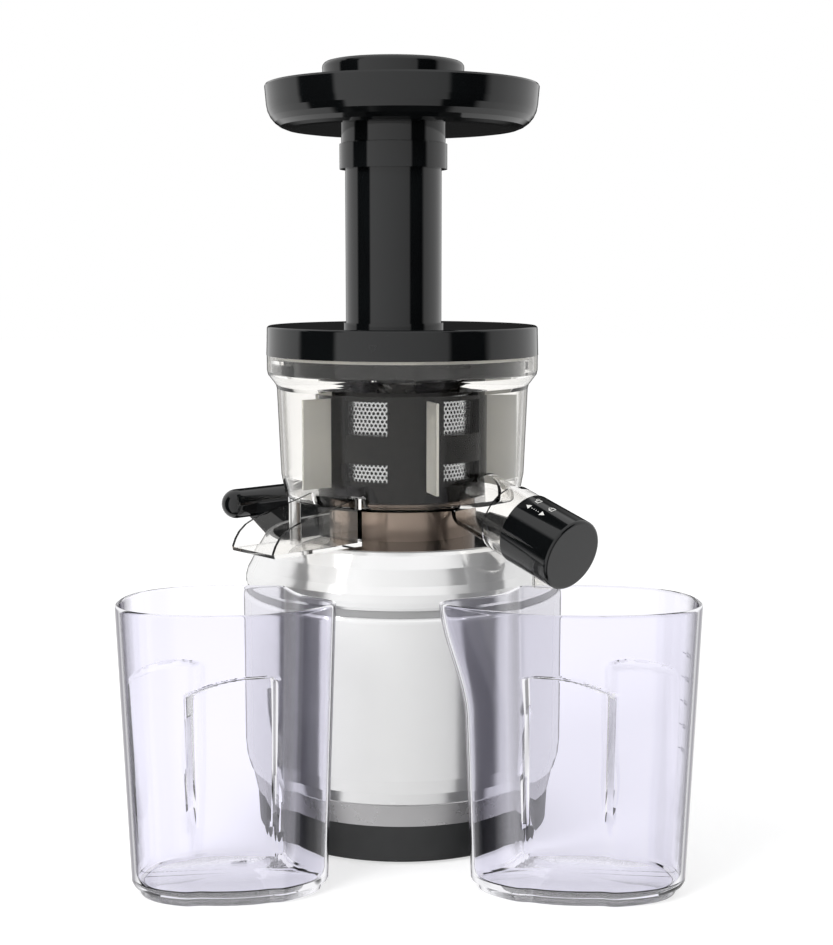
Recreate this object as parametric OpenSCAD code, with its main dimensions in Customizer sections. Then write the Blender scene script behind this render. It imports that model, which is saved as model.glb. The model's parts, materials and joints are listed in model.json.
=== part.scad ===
// Upright slow juicer: motor body with gear train, clear juicing bowl with a
// turning brush around a fixed strainer, feed chute with hopper tray and pusher,
// and two nesting jugs. Millimetres, +Z up, origin on the table under the drive
// shaft. The juice spout points to -Y and the pulp trough to -X.

/* [Motor body] */
// Largest radius of the motor body
body_r = 87.5; // [80:0.5:100]
// Wall of the moulded housings
shell_wall = 3; // [2:0.5:4]
// Gap between the table and the black base pan
ground_gap = 1.2; // [1:0.1:4]
// Height of the black base pan
pan_h = 19.8; // [15:0.1:30]
// Radius of the base pan at its top
pan_r = 81; // [72:0.5:86]
// Height of the grey trim ring
trim_h = 11.8; // [6:0.2:20]
// Radius of the trim ring at its top
trim_r = 84; // [76:0.5:88]
// Height of the lower white housing
lower_h = 98.2; // [80:0.2:130]
// Height of the dark groove between the two housings
groove_h = 3.7; // [2:0.1:6]
// Height of the upper white housing
upper_h = 27.9; // [24:0.1:40]
// How far the upper housing's foot lies inside the largest radius
upper_inset = 1.2; // [0:0.1:3]
// How far the deck's edge lies inside the largest radius
deck_inset = 13.5; // [10:0.5:16]
// Radius of the dark collar that the bowl stands on
collar_r = 40; // [34:0.5:46]
// Height of the collar above the deck
collar_h = 17.6; // [12:0.2:30]

/* [Carrying handle] */
// Thickness of the round grip bar
grip_d = 17.2; // [14:0.1:24]
// Length of the grip bar over its round ends
grip_len = 81; // [70:1:110]
// Distance from the machine's axis to the grip bar
grip_reach = 112; // [108:0.5:125]
// Height of the grip bar's centre above the table
grip_z = 167.5; // [164:0.5:176]
// Width of the neck that joins the grip bar to the body
grip_neck_w = 46; // [36:1:60]

/* [Bowl] */
// Outer radius of the bowl just under its flange
bowl_r = 68.3; // [66:0.1:76]
// How much smaller the bowl's radius is near its floor
bowl_draft = 1.9; // [0:0.1:4]
// Outer radius of the bowl's flange
flange_r = 73.6; // [72:0.1:82]
// Height of the bowl from its floor to its rim
bowl_h = 78.5; // [70:0.5:95]
// Wall of the clear bowl
bowl_wall = 2.5; // [1.8:0.1:3.5]
// Outer radius of the turning brush cage
brush_r = 46.2; // [44:0.1:52]
// Height of the strainer
strainer_h = 50; // [40:0.5:60]
// Outer radius of the strainer frame
strainer_r = 42.4; // [40:0.1:43]

/* [Juice spout] */
// Slope of the spout below the horizontal
spout_slope = 16.9; // [10:0.1:20]
// Height at which the spout's centre line crosses the machine's axis
spout_z = 203; // [202:0.1:210]
// Outer radius of the spout tube
spout_r = 16.5; // [12:0.1:17]
// Wall of the spout tube
spout_wall = 2; // [1.5:0.1:3]
// Length along the spout from the axis to the collar
spout_collar_s = 85.5; // [80:0.5:90]
// Length along the spout from the axis to the cap's mouth
cap_s = 99.6; // [94:0.2:105]
// Length of the black cap
cap_len = 33; // [28:0.5:40]
// Outer radius of the cap
cap_r = 18.64; // [18.2:0.02:20]

/* [Pulp trough] */
// Distance of the trough's tip from the machine's axis
trough_reach = 116; // [100:1:130]
// Outer width of the trough
trough_w = 35; // [28:0.5:40]
// How far the trough's centre line lies in front of the axis
trough_shift = 19; // [17:0.5:22]
// Wall of the trough
trough_wall = 1.8; // [1.4:0.1:3]

/* [Lid and chute] */
// Radius of the lid
lid_r = 73.8; // [72:0.1:82]
// Height of the lid above the bowl's rim
lid_h = 15.7; // [12:0.1:24]
// Outer radius of the feed chute
chute_r = 25.2; // [22:0.1:30]
// Wall of the chute
chute_wall = 2.4; // [1.8:0.1:3]
// Distance of the chute's centre from the machine's axis
chute_shift = 25; // [22:0.5:30]
// Direction of the chute from the spout, towards the trough
chute_turn = 52; // [40:1:60]
// Height of the chute above the lid
chute_h = 94.8; // [80:0.1:130]
// Radius of the ring round the chute's mouth
chute_ring_r = 28.1; // [26.5:0.1:34]
// Height of the ring round the chute's mouth
chute_ring_h = 12.9; // [8:0.1:20]

/* [Hopper tray and pusher] */
// Radius of the hopper tray
tray_r = 73.3; // [64:0.1:80]
// Height of the hopper tray
tray_h = 23.5; // [18:0.5:34]
// Wall of the hopper tray
tray_wall = 2.2; // [1.8:0.1:3]
// Height of the tray's neck above the chute's ring
neck_h = 9; // [6:0.5:14]
// Outer radius of the tray's neck
neck_r = 27.2; // [26.9:0.1:32]
// Radius of the pusher's cap
pusher_cap_r = 36.8; // [32:0.1:42]
// Height of the pusher's cap
pusher_cap_h = 28; // [20:0.5:40]

/* [Jugs] */
// Height of both jugs
jug_h = 145; // [120:1:170]
// Length of the juice jug at its rim, without its lip
juice_jug_len = 117; // [100:1:130]
// Length of the pulp jug at its rim
pulp_jug_len = 107; // [90:1:130]
// Depth of a jug at its rim
jug_depth = 73; // [60:1:80]
// Wall of a jug
jug_wall = 2; // [1.5:0.1:3]
// How far the pouring lip stands out
lip_out = 13; // [8:0.5:18]
// Sideways distance of the juice jug's centre from the machine's axis
juice_jug_side = 87; // [86:0.5:110]
// Sideways distance of the pulp jug's centre from the machine's axis
pulp_jug_side = 84; // [82:0.5:110]
// How far the jugs stand in front of the machine's axis
jug_front = 106.5; // [104:0.5:130]

/* [Hidden] */

// Smoothness of exact round parts
$fn = 96;
// Gap between pieces that turn or slide past each other
run_gap = 0.3;
// Radial clearance of a pin in its bearing
pin_gap = 0.05;
// Clearance of a piece that is fitted by hand and stays put
fit_gap = 0.1;
// Overlap of a cutting shape past the face that it cuts
over = 1;

// ---- heights of the motor body, from the table up ----
pan_z = ground_gap;
trim_z = pan_z + pan_h;
lower_z = trim_z + trim_h;
groove_z = lower_z + lower_h;
upper_z = groove_z + groove_h;
deck_z = upper_z + upper_h;
collar_top = deck_z + collar_h;

// ---- foot, pan and screws ----
foot_w = 7;
foot_r = 68;
foot_inset = 1;
pan_floor = 3;
pan_foot_r = pan_r - 1;
pan_corner = 1.5;
pan_screw_r = 72;
pan_screw_shank = 1.9;
pan_screw_head = 3.6;
pan_screw_head_h = 2.4;
pan_screw_turn = 45;
pan_post_r = 5;
pan_post_top = trim_z - 1;
boss_h = 12;
screw_count = 4;
trim_foot_r = pan_r + 0.5;
trim_in_r = trim_r - 6;
lower_foot_r = body_r - 2.5;
upper_r = body_r - upper_inset;
deck_r = body_r - deck_inset;
lip_h = 7;
corner_r = 3;

// ---- motor and gears ----
stage1_module = 0.8;
stage2_module = 1.25;
pinion_teeth = 12;
stage1_teeth = 60;
stage2_teeth = 48;
compound_y = stage2_module * (pinion_teeth + stage2_teeth) / 2;
rotor_y = compound_y - stage1_module * (pinion_teeth + stage1_teeth) / 2;
plate_z = 78;
plate_h = 4;
plate_r = body_r - shell_wall - fit_gap;
ledge_w = 4;
ledge_h = 3;
vent_r = 7;
vent_place = 62;
can_r = 38;
can_wall = 1.6;
can_h = 54;
can_z = plate_z - can_h;
stator_in_r = 25;
stator_h = 32;
stator_z = can_z + 11;
winding_h = 6;
rotor_r = 24.3;
rotor_shaft_r = 4;
bearing_r = 8;
bearing_h = 5;
fan_r = 30;
fan_h = 9;
fan_z = 10.5;
fan_blades = 9;
stage1_z = plate_z + plate_h + 3;
stage1_h = 6;
stage2_z = stage1_z + stage1_h + 1;
stage2_h = 9;
compound_top = stage2_z + stage2_h + 1;
web_place = 17;
web_hole_r = 5;
axle_r = 2.5;
hub_r = 5.4;
cover_z = plate_z + plate_h;
cover_h = 32;
cover_wall = 2.5;
cover_main_r = 35;
cover_side_r = 28.5;
cover_screw_r = 1.7;
cover_lug_r = 4.5;
cover_lug_h = 5;
lug_off = cover_wall + 3.4;
shaft_r = 6;
hex_af = 10;
shaft_top = collar_top + 14;
big_bearing_r = 13;
big_bearing_h = 8;
big_bearing_z = cover_z + cover_h - big_bearing_h - cover_wall;

// ---- deck, collar and interlock ----
deck_h = 2.6;
deck_in_r = 20;
deck_seat = 2.5;
deck_drop = 0.4;
deck_under = deck_z - deck_drop - deck_h;
collar_wall = 3;
collar_hole_r = 12.4;
seal_h = 4;
pin_turn = 128.6;
pin_reach = deck_r - 12.6;
pin_x = pin_reach * cos(pin_turn);
pin_y = pin_reach * sin(pin_turn);
lock_pin_r = 3.3;
lock_pin_foot = 14;
lock_travel = 3;
lock_flange = 2;
lock_box = [20, 10, 12];
lock_post_w = 5;

// ---- switch, gland and electrics ----
switch_z = 60;
switch_w = 16;
switch_len = 27;
bezel_rim = 2.2;
bezel_out = 1.6;
bezel_deep = 12;
rocker_w = switch_w - 2 * bezel_rim - 2 * run_gap;
rocker_len = switch_len - 2 * bezel_rim - 3;
rocker_pin_r = 1.3;
rocker_in = 3;
gland_r = 6;
gland_bore = 3.5;
gland_flange = 7;
gland_out = 6;
gland_nut = 3;
gland_z = pan_z + 11.4;
board_x = 58;
board_w = 40;
board_h = 34;
board_t = 1.6;
cap_can_r = 9;
cap_can_h = 26;
cap_can_place = [-46, -40];

// ---- handle ----
grip_r = grip_d / 2;
grip_screw_r = 1.9;
grip_screw_x = grip_neck_w / 2 - 9;
grip_screw_z = deck_z - 13;
grip_screw_out = grip_reach - 26;
grip_boss_r = 5;
grip_boss_in = upper_r - 20;
grip_head_h = 2.2;

// ---- bowl and its works ----
bowl_z = collar_top + run_gap;
bowl_top = bowl_z + bowl_h;
bowl_floor_z = bowl_z + bowl_wall;
flange_h = 9.5;
flange_slope = 8.5;
bowl_corner = 6;
bowl_hole_r = 14;
gear_module = 1.5;
sun_teeth = 18;
idler_teeth = 12;
ring_teeth = 42;
idler_turn = 150;
idler_dist = gear_module * (sun_teeth + idler_teeth) / 2;
mesh_z = bowl_floor_z + 1;
mesh_h = 6;
idler_pin_r = 2.5;
hub_out_r = 11;
hub_foot = 2.8;
hub_top = bowl_floor_z + 13;
ring_z = bowl_floor_z + run_gap;
ring_h = mesh_h + 1.2;
cage_wall = 2.6;
cage_top = bowl_top - 17;
cage_windows = 5;
window_share = 0.48;
window_turn = 57.5;
window_low = ring_z + ring_h + 1;
window_low_h = 12;
window_high = cage_top - 23.5;
window_high_h = 18;
blade_t = 1.4;
blade_count = 5;
blade_turn = 29;
bowl_foot_r = bowl_r - bowl_draft;
blade_reach = bowl_foot_r - bowl_wall - 1.2;
strainer_z = ring_z + ring_h + run_gap;
strainer_wall = 1.6;
mesh_t = 0.5;
strainer_floor = 2;
leg_in_r = 17;
leg_out_r = 28;
leg_angle = 50;
flight_r = strainer_r - strainer_wall - mesh_t - fit_gap - 1.6;
auger_top = strainer_z + strainer_h + 12;
auger_core_low = 27;
auger_core_high = 12;
auger_turns = 1.6;
auger_starts = 2;
auger_sides = 32;
auger_rings = 24;
auger_pin_r = 3.2;
lid_boss_r = 5.8;

// ---- spout ----
spout_in_r = spout_r - spout_wall;
spout_start = 60;
spout_end_wall = 2;
spout_tip = cap_s + cap_len - 4;
spout_step_r = cap_r - 0.6;
outlet_s = cap_s + 13;
outlet_r = 5;
cap_wall = 1.7;
nozzle_r = outlet_r + 1;
nozzle_wall = 1.2;
nozzle_len = 4.5;
seal_w = 2.2;
seal_t = 1.8;

// ---- trough ----
trough_z = deck_z + 2;
trough_root = 60;
trough_high = 24.5;
exit_w = trough_w - 2 * trough_wall - 4;
exit_h = 5;

// ---- lid, chute, tray and pusher ----
lid_z = bowl_top;
lid_top = lid_z + lid_h;
lid_plate = 2.6;
lid_edge = 1.5;
skirt_r = 67;
skirt_h = 9;
skirt_wall = 2.2;
lug_count = 4;
lug_place = 246;
lug_angle = 22;
lug_h = 4.5;
lug_r = flange_r - bowl_wall - run_gap;
catch_h = 1.8;
ring_top = lid_top + chute_h;
chute_x = -chute_shift * sin(chute_turn);
chute_y = -chute_shift * cos(chute_turn);
chute_in_r = chute_r - chute_wall;
spigot_up = 5;
tray_z = ring_top + neck_h;
tray_top = tray_z + tray_h;
tray_corner = 14;
pusher_gap = 0.6;
pusher_r = chute_in_r - pusher_gap;
pusher_wall = 2.4;
pusher_top = tray_top + 9;
pusher_low = lid_top + 1;
cap_round = 2.8;

// ---- jugs ----
view_turn = 42;
jug_sides = 48;
jug_rings = 8;
foot_lift = 4.5;
jug_floor = 2.4;
jug_draft_len = 0.905;
jug_draft_depth = 0.86;
foot_share = 0.93;
front_grip = -5.5;
back_grip = 35.5;
grip_deep = 8;
grip_wide = 20;
grip_top = 112;
grip_fade = 60;
lip_low = 88;

// ---- shapes that repeat ----

// Points of an arc about (x, z), from angle a to angle b
function arc(x, z, r, a, b, n = 6) =
    [for (i = [0:n]) let (t = a + (b - a) * i / n) [x + r * cos(t), z + r * sin(t)]];

function smooth(t) = let (u = min(1, max(0, t))) u * u * (3 - 2 * u);

// Involute tooth: angle between the flank at radius r and the base circle
function flank(r, base_r) = let (a = acos(min(1, base_r / r))) tan(a) * 180 / PI - a;

// Outline of a spur gear with its first tooth on +X
module gear_outline(teeth, m, tip = 0.85, root = 1.15, slack = 0.12) {
    pitch_r = m * teeth / 2;
    base_r = pitch_r * cos(25);
    tip_r = pitch_r + m * tip;
    root_r = pitch_r - m * root;
    low_r = max(base_r, root_r);
    half = 90 / teeth - slack / pitch_r * 180 / PI + flank(pitch_r, base_r);
    steps = [low_r, (2 * low_r + tip_r) / 3, (low_r + 2 * tip_r) / 3, tip_r];
    polygon([for (i = [0:teeth - 1]) let (c = 360 * i / teeth) each concat(
        [let (t = c - half + flank(low_r, base_r)) root_r * [cos(t), sin(t)]],
        [for (r = steps) let (t = c - half + flank(r, base_r)) r * [cos(t), sin(t)]],
        [for (k = [3:-1:0]) let (r = steps[k], t = c + half - flank(r, base_r))
            r * [cos(t), sin(t)]],
        [let (t = c + half - flank(low_r, base_r)) root_r * [cos(t), sin(t)]]
    )]);
}

module tube(r, in_r, z, h) {
    translate([0, 0, z]) difference() {
        cylinder(r = r, h = h);
        translate([0, 0, -over]) cylinder(r = in_r, h = h + 2 * over);
    }
}

module rod(r, z, h) {
    translate([0, 0, z]) cylinder(r = r, h = h);
}

// A bearing: inner race, outer race and one shield between them
module bearing(r, bore, z, h) {
    race = (r - bore) / 3;
    tube(r, r - race, z, h);
    tube(bore + race, bore, z, h);
    tube(r - race, bore + race, z + h / 4, h / 2);
}

// Puts children on the spout's centre line, with +Z running out along it
module along_spout(s = 0) {
    translate([0, 0, spout_z]) rotate([90 + spout_slope, 0, 0]) translate([0, 0, s]) children();
}

// Sector of a ring, centred on angle a
module sector(r, in_r, z, h, a, spread) {
    rotate([0, 0, a - spread / 2]) rotate_extrude(angle = spread)
        translate([in_r, z]) square([r - in_r, h]);
}

// ---- motor body ----

module foot_ring() {
    color("dimgray") rotate_extrude() polygon([
        [foot_r - foot_w, 0], [foot_r, 0], [foot_r, pan_z + foot_inset],
        [foot_r - foot_w, pan_z + foot_inset]
    ]);
}

module base_pan() {
    color("#262726") difference() {
        union() {
            rotate_extrude() polygon(concat(
                [[0, pan_z]],
                arc(pan_foot_r - pan_corner, pan_z + pan_corner, pan_corner, -90, 0),
                [[pan_r, trim_z], [pan_r - shell_wall, trim_z],
                 [pan_foot_r - shell_wall, pan_z + pan_floor], [0, pan_z + pan_floor]]
            ));
            pan_screw_places() rod(pan_post_r, pan_z, pan_post_top - pan_z);
        }
        tube(foot_r + fit_gap, foot_r - foot_w - fit_gap, pan_z - over, over + foot_inset);
        pan_screw_places() {
            rod(pan_screw_head + fit_gap, pan_z - over, over + pan_screw_head_h + fit_gap);
            rod(pan_screw_shank + fit_gap, pan_z - over, pan_h + 2 * over);
        }
        translate([0, 0, gland_z]) rotate([-90, 0, 0]) cylinder(r = gland_r + fit_gap, h = body_r);
    }
}

// Puts children at each screw of the base pan
module pan_screw_places() {
    for (i = [0:screw_count - 1]) rotate([0, 0, pan_screw_turn + 360 * i / screw_count])
        translate([pan_screw_r, 0, 0]) children();
}

module pan_screws() {
    color("silver") pan_screw_places() {
        rod(pan_screw_head, pan_z, pan_screw_head_h);
        rod(pan_screw_shank, pan_z, lower_z - pan_z);
    }
}

module trim_ring() {
    color("#8c8c8c") rotate_extrude() polygon([
        [trim_foot_r, trim_z], [trim_r, lower_z], [trim_in_r, lower_z], [trim_in_r, trim_z]
    ]);
}

module lower_housing() {
    in_r = body_r - shell_wall;
    color("white") difference() {
        union() {
            rotate_extrude() polygon(concat(
                [[trim_in_r, lower_z]],
                [[lower_foot_r - 1, lower_z], [lower_foot_r, lower_z + 1]],
                [[body_r - 0.7, lower_z + lip_h], [body_r, lower_z + 2 * lip_h]],
                arc(body_r - corner_r, groove_z - corner_r, corner_r, 0, 90),
                [[in_r - ledge_w, groove_z], [in_r - ledge_w, groove_z - ledge_h],
                 [in_r, groove_z - ledge_h - ledge_w], [in_r, lower_z + lip_h]]
            ));
            tube(in_r + over, plate_r - ledge_w, plate_z - ledge_h, ledge_h);
            pan_screw_places() {
                rod(pan_post_r, pan_post_top, lower_z + boss_h - pan_post_top);
                translate([0, -shell_wall / 2, lower_z + 1.5])
                    cube([in_r + over - pan_screw_r, shell_wall, boss_h - 1.5]);
            }
        }
        pan_screw_places()
            rod(pan_screw_shank + pin_gap, pan_post_top - over, boss_h + 2 * over);
        translate([0, 0, switch_z]) rotate([0, 90, 0]) translate([-switch_len / 2 - fit_gap,
            -switch_w / 2 - fit_gap, 0]) cube([switch_len + 2 * fit_gap, switch_w + 2 * fit_gap,
            body_r + over]);
    }
}

module groove_ring() {
    color("#3a3a3a") tube(body_r - 2.2, body_r - shell_wall - 4, groove_z, groove_h);
}

// Outline of the upper housing's outside, from its foot to the deck
function upper_outline() = concat(
    [[upper_r - 0.6, upper_z], [upper_r, upper_z + 1.5], [upper_r, upper_z + 4]],
    [[upper_r - 1, upper_z + 7.8], [upper_r - 3.2, upper_z + 11.8]],
    [[deck_r + 5.4, deck_z - 8], [deck_r + 1.8, deck_z - 1.8], [deck_r, deck_z - 0.3],
     [deck_r - 1.5, deck_z]]
);

module upper_housing() {
    seat_r = deck_r - deck_seat;
    color("white") difference() {
        union() {
            rotate_extrude() polygon(concat(
                [[upper_r - 8, upper_z]], upper_outline(),
                [[seat_r, deck_z], [seat_r, deck_under], [seat_r - ledge_w, deck_under],
                 [seat_r - ledge_w, deck_under - ledge_h], [upper_r - 8, upper_z + 8]]
            ));
            grip_screw_places() translate([0, 0, grip_boss_in])
                cylinder(r = grip_boss_r, h = deck_r + 2 - grip_boss_in);
        }
        grip_screw_places() cylinder(r = grip_screw_r + fit_gap, h = grip_reach);
    }
}

// Puts children on the handle's screws, with +Z pointing out of the body
module grip_screw_places() {
    for (side = [-1, 1]) translate([side * grip_screw_x, 0, grip_screw_z])
        rotate([-90, 0, 0]) children();
}

module deck_plate() {
    color("#1b1b1c") difference() {
        tube(deck_r - deck_seat - fit_gap, deck_in_r, deck_under, deck_h);
        translate([pin_x, pin_y, 0]) cylinder(r = lock_pin_r + run_gap, h = 2 * deck_z);
    }
}

module dock_collar() {
    foot_z = deck_under + deck_h;
    roof_z = collar_top - collar_wall;
    seat_z = roof_z - seal_h - collar_wall;
    bore_r = shaft_r + 4;
    color("#1b1b1c") rotate_extrude() polygon(concat(
        [[collar_r - collar_wall, foot_z], [collar_r, foot_z]],
        arc(collar_r - corner_r / 2, collar_top - corner_r / 2, corner_r / 2, 0, 90),
        [[collar_hole_r, collar_top], [collar_hole_r, roof_z], [bore_r, roof_z], [bore_r, seat_z],
         [collar_hole_r + collar_wall, seat_z], [collar_hole_r + collar_wall, roof_z],
         [collar_r - collar_wall, roof_z]]
    ));
}

module shaft_seal() {
    color("#5a3a2e") tube(shaft_r + 4, shaft_r + pin_gap, collar_top - collar_wall - seal_h, seal_h);
}

// The grip bar and the neck that joins it to the upper housing
module handle_grip() {
    straight = grip_len / 2 - grip_r;
    color("#151515") difference() {
        union() {
            translate([-straight, grip_reach, grip_z]) rotate([0, 90, 0])
                cylinder(r = grip_r, h = 2 * straight);
            for (side = [-1, 1]) translate([side * straight, grip_reach, grip_z]) sphere(r = grip_r);
            translate([-grip_neck_w / 2, 0, 0]) rotate([90, 0, 90]) linear_extrude(grip_neck_w)
                polygon([
                    [grip_reach, grip_z + grip_r / 2], [grip_reach, grip_z - grip_r + 0.6],
                    [upper_r - 5, upper_z + 8], [grip_boss_in, upper_z + 8],
                    [grip_boss_in, deck_z - 3], [deck_r + 4, deck_z - 3]
                ]);
        }
        rotate_extrude() polygon(concat([[0, upper_z]], upper_outline(), [[0, deck_z]]));
        grip_screw_places() cylinder(r = grip_screw_r, h = grip_screw_out);
    }
}

module handle_screws() {
    color("silver") grip_screw_places() {
        translate([0, 0, grip_boss_in - grip_head_h]) cylinder(r = 2 * grip_screw_r, h = grip_head_h);
        translate([0, 0, grip_boss_in - grip_head_h])
            cylinder(r = grip_screw_r - pin_gap, h = grip_screw_out - grip_boss_in + grip_head_h);
    }
}

module switch_bezel() {
    deep = body_r - bezel_deep;
    color("#1b1b1c") difference() {
        union() {
            translate([deep, -switch_w / 2, switch_z - switch_len / 2])
                cube([bezel_deep, switch_w, switch_len]);
            translate([body_r, -switch_w / 2 - bezel_out, switch_z - switch_len / 2 - bezel_out])
                cube([bezel_out, switch_w + 2 * bezel_out, switch_len + 2 * bezel_out]);
        }
        translate([deep + bezel_out, bezel_rim - switch_w / 2, switch_z - switch_len / 2 + bezel_rim])
            cube([bezel_deep + over, switch_w - 2 * bezel_rim, switch_len - 2 * bezel_rim]);
        translate([body_r - rocker_in, switch_w, switch_z]) rotate([90, 0, 0])
            cylinder(r = rocker_pin_r + pin_gap, h = 2 * switch_w);
    }
}

module switch_rocker() {
    half = rocker_len / 2;
    color("#2b2b2c") translate([body_r - rocker_in, 0, switch_z]) {
        rotate([90, 0, 0]) translate([0, 0, -rocker_w / 2]) linear_extrude(rocker_w)
            polygon([[-5, 4 - half], [1.5, -half], [6, 0.6 - half], [3.6, 0],
                [6, half - 0.6], [1.5, half], [-5, half - 4]]);
        rotate([90, 0, 0]) translate([0, 0, -switch_w / 2 + 0.6])
            cylinder(r = rocker_pin_r, h = switch_w - 1.2);
    }
}

module cord_gland() {
    low = pan_foot_r - shell_wall - gland_nut - over;
    color("#1b1b1c") translate([0, 0, gland_z]) rotate([-90, 0, 0]) difference() {
        union() {
            rod(gland_r, low, pan_r + gland_out - low);
            rod(gland_flange, pan_r, 2);
            rod(gland_flange, low, gland_nut);
        }
        rod(gland_bore, low - over, body_r);
    }
}

module interlock_pin() {
    low = deck_z - lock_pin_foot;
    color("white") translate([pin_x, pin_y, 0]) {
        rod(lock_pin_r, low, collar_top - low);
        rod(lock_pin_r + lock_flange, low, deck_under - run_gap - low);
    }
}

// The switch under the interlock pin, hung from the deck by a post at its side
module interlock_switch() {
    top = deck_z - lock_pin_foot - lock_travel - run_gap;
    low = top - lock_box[2];
    color("#30343a") translate([pin_x, pin_y - lock_box[1] / 2, low]) {
        translate([-lock_box[0] / 2, 0, 0]) cube(lock_box);
        translate([lock_box[0] / 2 - over, 0, 0]) cube([lock_post_w, lock_box[1], deck_under - low]);
    }
}

module circuit_board() {
    color("darkgreen") translate([-board_x, -board_w / 2, plate_z + plate_h]) {
        cube([board_t, board_w, board_h]);
        translate([board_t, 6, 0]) cube([8, board_w - 12, 3]);
        translate([board_t, 8, 12]) cube([9, 12, 14]);
        translate([board_t, 24, 10]) cube([6, 9, 9]);
    }
}

module run_capacitor() {
    color("gray") translate([cap_can_place[0], cap_can_place[1], plate_z + plate_h])
        cylinder(r = cap_can_r, h = cap_can_h);
}

// ---- motor and gear train ----

module motor_plate() {
    color("#5d6166") difference() {
        union() {
            rod(plate_r, plate_z, plate_h);
            translate([0, compound_y, 0]) rod(2 * axle_r, plate_z, stage1_z - run_gap - plate_z);
        }
        translate([0, rotor_y, plate_z - over]) cylinder(r = bearing_r, h = plate_h + 2 * over);
        for (a = [40, 140, 250, 310]) rotate([0, 0, a])
            translate([vent_place, 0, plate_z - over]) cylinder(r = vent_r, h = plate_h + 2 * over);
        translate([0, compound_y, plate_z - over]) cylinder(r = axle_r, h = 3 * plate_h);
        cover_screw_places() rod(cover_screw_r, -plate_h - over, 2 * plate_h);
    }
}

module motor_can() {
    color("silver") translate([0, rotor_y, 0]) difference() {
        rod(can_r, can_z, can_h);
        rod(can_r - can_wall, can_z + can_wall, can_h);
        rod(bearing_r, can_z - over, can_h);
        for (i = [0:5]) rotate([0, 0, 60 * i]) translate([can_r - 12, 0, can_z - over])
            cylinder(r = 4, h = can_wall + 2 * over);
    }
}

module stator_core() {
    color("#6b6f75") translate([0, rotor_y, 0])
        tube(can_r - can_wall, stator_in_r, stator_z, stator_h);
}

module stator_windings() {
    mid = (stator_in_r + can_r - can_wall) / 2;
    color("#b5651d") translate([0, rotor_y, 0])
        for (z = [stator_z - winding_h / 2, stator_z + stator_h + winding_h / 2])
            rotate_extrude() translate([mid, z]) circle(d = winding_h);
}

module rotor_bearings() {
    color("silver") translate([0, rotor_y, 0]) {
        bearing(bearing_r, rotor_shaft_r + pin_gap, can_z, bearing_h);
        bearing(bearing_r, rotor_shaft_r + pin_gap, plate_z - 1, bearing_h);
    }
}

module rotor_shaft() {
    low = fan_z - 1;
    color("lightgray") translate([0, rotor_y, 0]) {
        rod(rotor_shaft_r, low, stage1_z - low);
        translate([0, 0, stage1_z]) rotate([0, 0, -90 + 180 / pinion_teeth])
            linear_extrude(stage1_h) gear_outline(pinion_teeth, stage1_module);
    }
}

module rotor_core() {
    color("#8a8d92") translate([0, rotor_y, 0])
        tube(rotor_r, rotor_shaft_r, stator_z - 2, stator_h + 4);
}

module cooling_fan() {
    hub = rotor_shaft_r + 5;
    color("#2b2b2c") translate([0, rotor_y, 0]) {
        tube(hub, rotor_shaft_r, fan_z, fan_h);
        difference() {
            rod(fan_r, fan_z, 1.6);
            rod(hub, fan_z - over, fan_h);
        }
        for (i = [0:fan_blades - 1]) rotate([0, 0, 360 * i / fan_blades])
            translate([hub - 0.2, -0.7, fan_z + 1.6]) cube([fan_r - hub - 0.6, 1.4, fan_h - 1.6]);
    }
}

module gear_axle() {
    color("lightgray") translate([0, compound_y, 0])
        rod(axle_r, plate_z, cover_z + cover_h - cover_wall - plate_z);
}

module compound_gear() {
    color("#e8e4d8") translate([0, compound_y, 0]) difference() {
        union() {
            translate([0, 0, stage1_z]) rotate([0, 0, -90])
                linear_extrude(stage1_h) gear_outline(stage1_teeth, stage1_module);
            rod(hub_r, stage1_z, stage2_z - stage1_z);
            translate([0, 0, stage1_z + stage1_h]) rotate([0, 0, 90 + 180 / pinion_teeth])
                linear_extrude(compound_top - stage1_z - stage1_h)
                gear_outline(pinion_teeth, stage2_module);
        }
        rod(axle_r + pin_gap, stage1_z - over, compound_top - stage1_z + 2 * over);
    }
}

module output_gear() {
    color("#7d7f83") difference() {
        translate([0, 0, stage2_z]) rotate([0, 0, 90])
            linear_extrude(stage2_h) gear_outline(stage2_teeth, stage2_module);
        rod(shaft_r, stage2_z - over, stage2_h + 2 * over);
        for (i = [0:5]) rotate([0, 0, 60 * i]) translate([web_place, 0, stage2_z - over])
            cylinder(r = web_hole_r, h = stage2_h + 2 * over);
    }
}

module cover_outline(grow = 0) {
    circle(r = cover_main_r + grow);
    translate([0, compound_y]) circle(r = cover_side_r + grow);
    translate([-cover_side_r - grow, 0]) square([2 * (cover_side_r + grow), compound_y]);
}

// Puts children at each screw of the gearbox cover, with z = 0 on the motor plate
module cover_screw_places() {
    for (side = [-1, 1]) {
        translate([side * (cover_main_r + lug_off), 0, cover_z]) children();
        translate([side * (cover_side_r + lug_off), compound_y, cover_z]) children();
    }
}

module gearbox_cover() {
    roof_z = cover_z + cover_h - cover_wall;
    color("#4d5156") difference() {
        union() {
            difference() {
                union() {
                    translate([0, 0, cover_z]) linear_extrude(cover_h) cover_outline(cover_wall);
                    cover_screw_places() cylinder(r = cover_lug_r, h = cover_lug_h);
                }
                translate([0, 0, cover_z - over]) linear_extrude(roof_z - cover_z + over)
                    cover_outline();
            }
            rod(big_bearing_r + cover_wall, big_bearing_z, big_bearing_h + over);
            translate([0, compound_y, 0])
                rod(2 * axle_r, compound_top + run_gap, roof_z - compound_top - run_gap + over);
        }
        rod(big_bearing_r, big_bearing_z - over, big_bearing_h + over);
        rod(shaft_r + 3, cover_z, 2 * cover_h);
        translate([0, compound_y, 0]) rod(axle_r, cover_z, roof_z - cover_z);
        cover_screw_places() rod(cover_screw_r + fit_gap, -over, cover_lug_h + 2 * over);
    }
}

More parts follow.
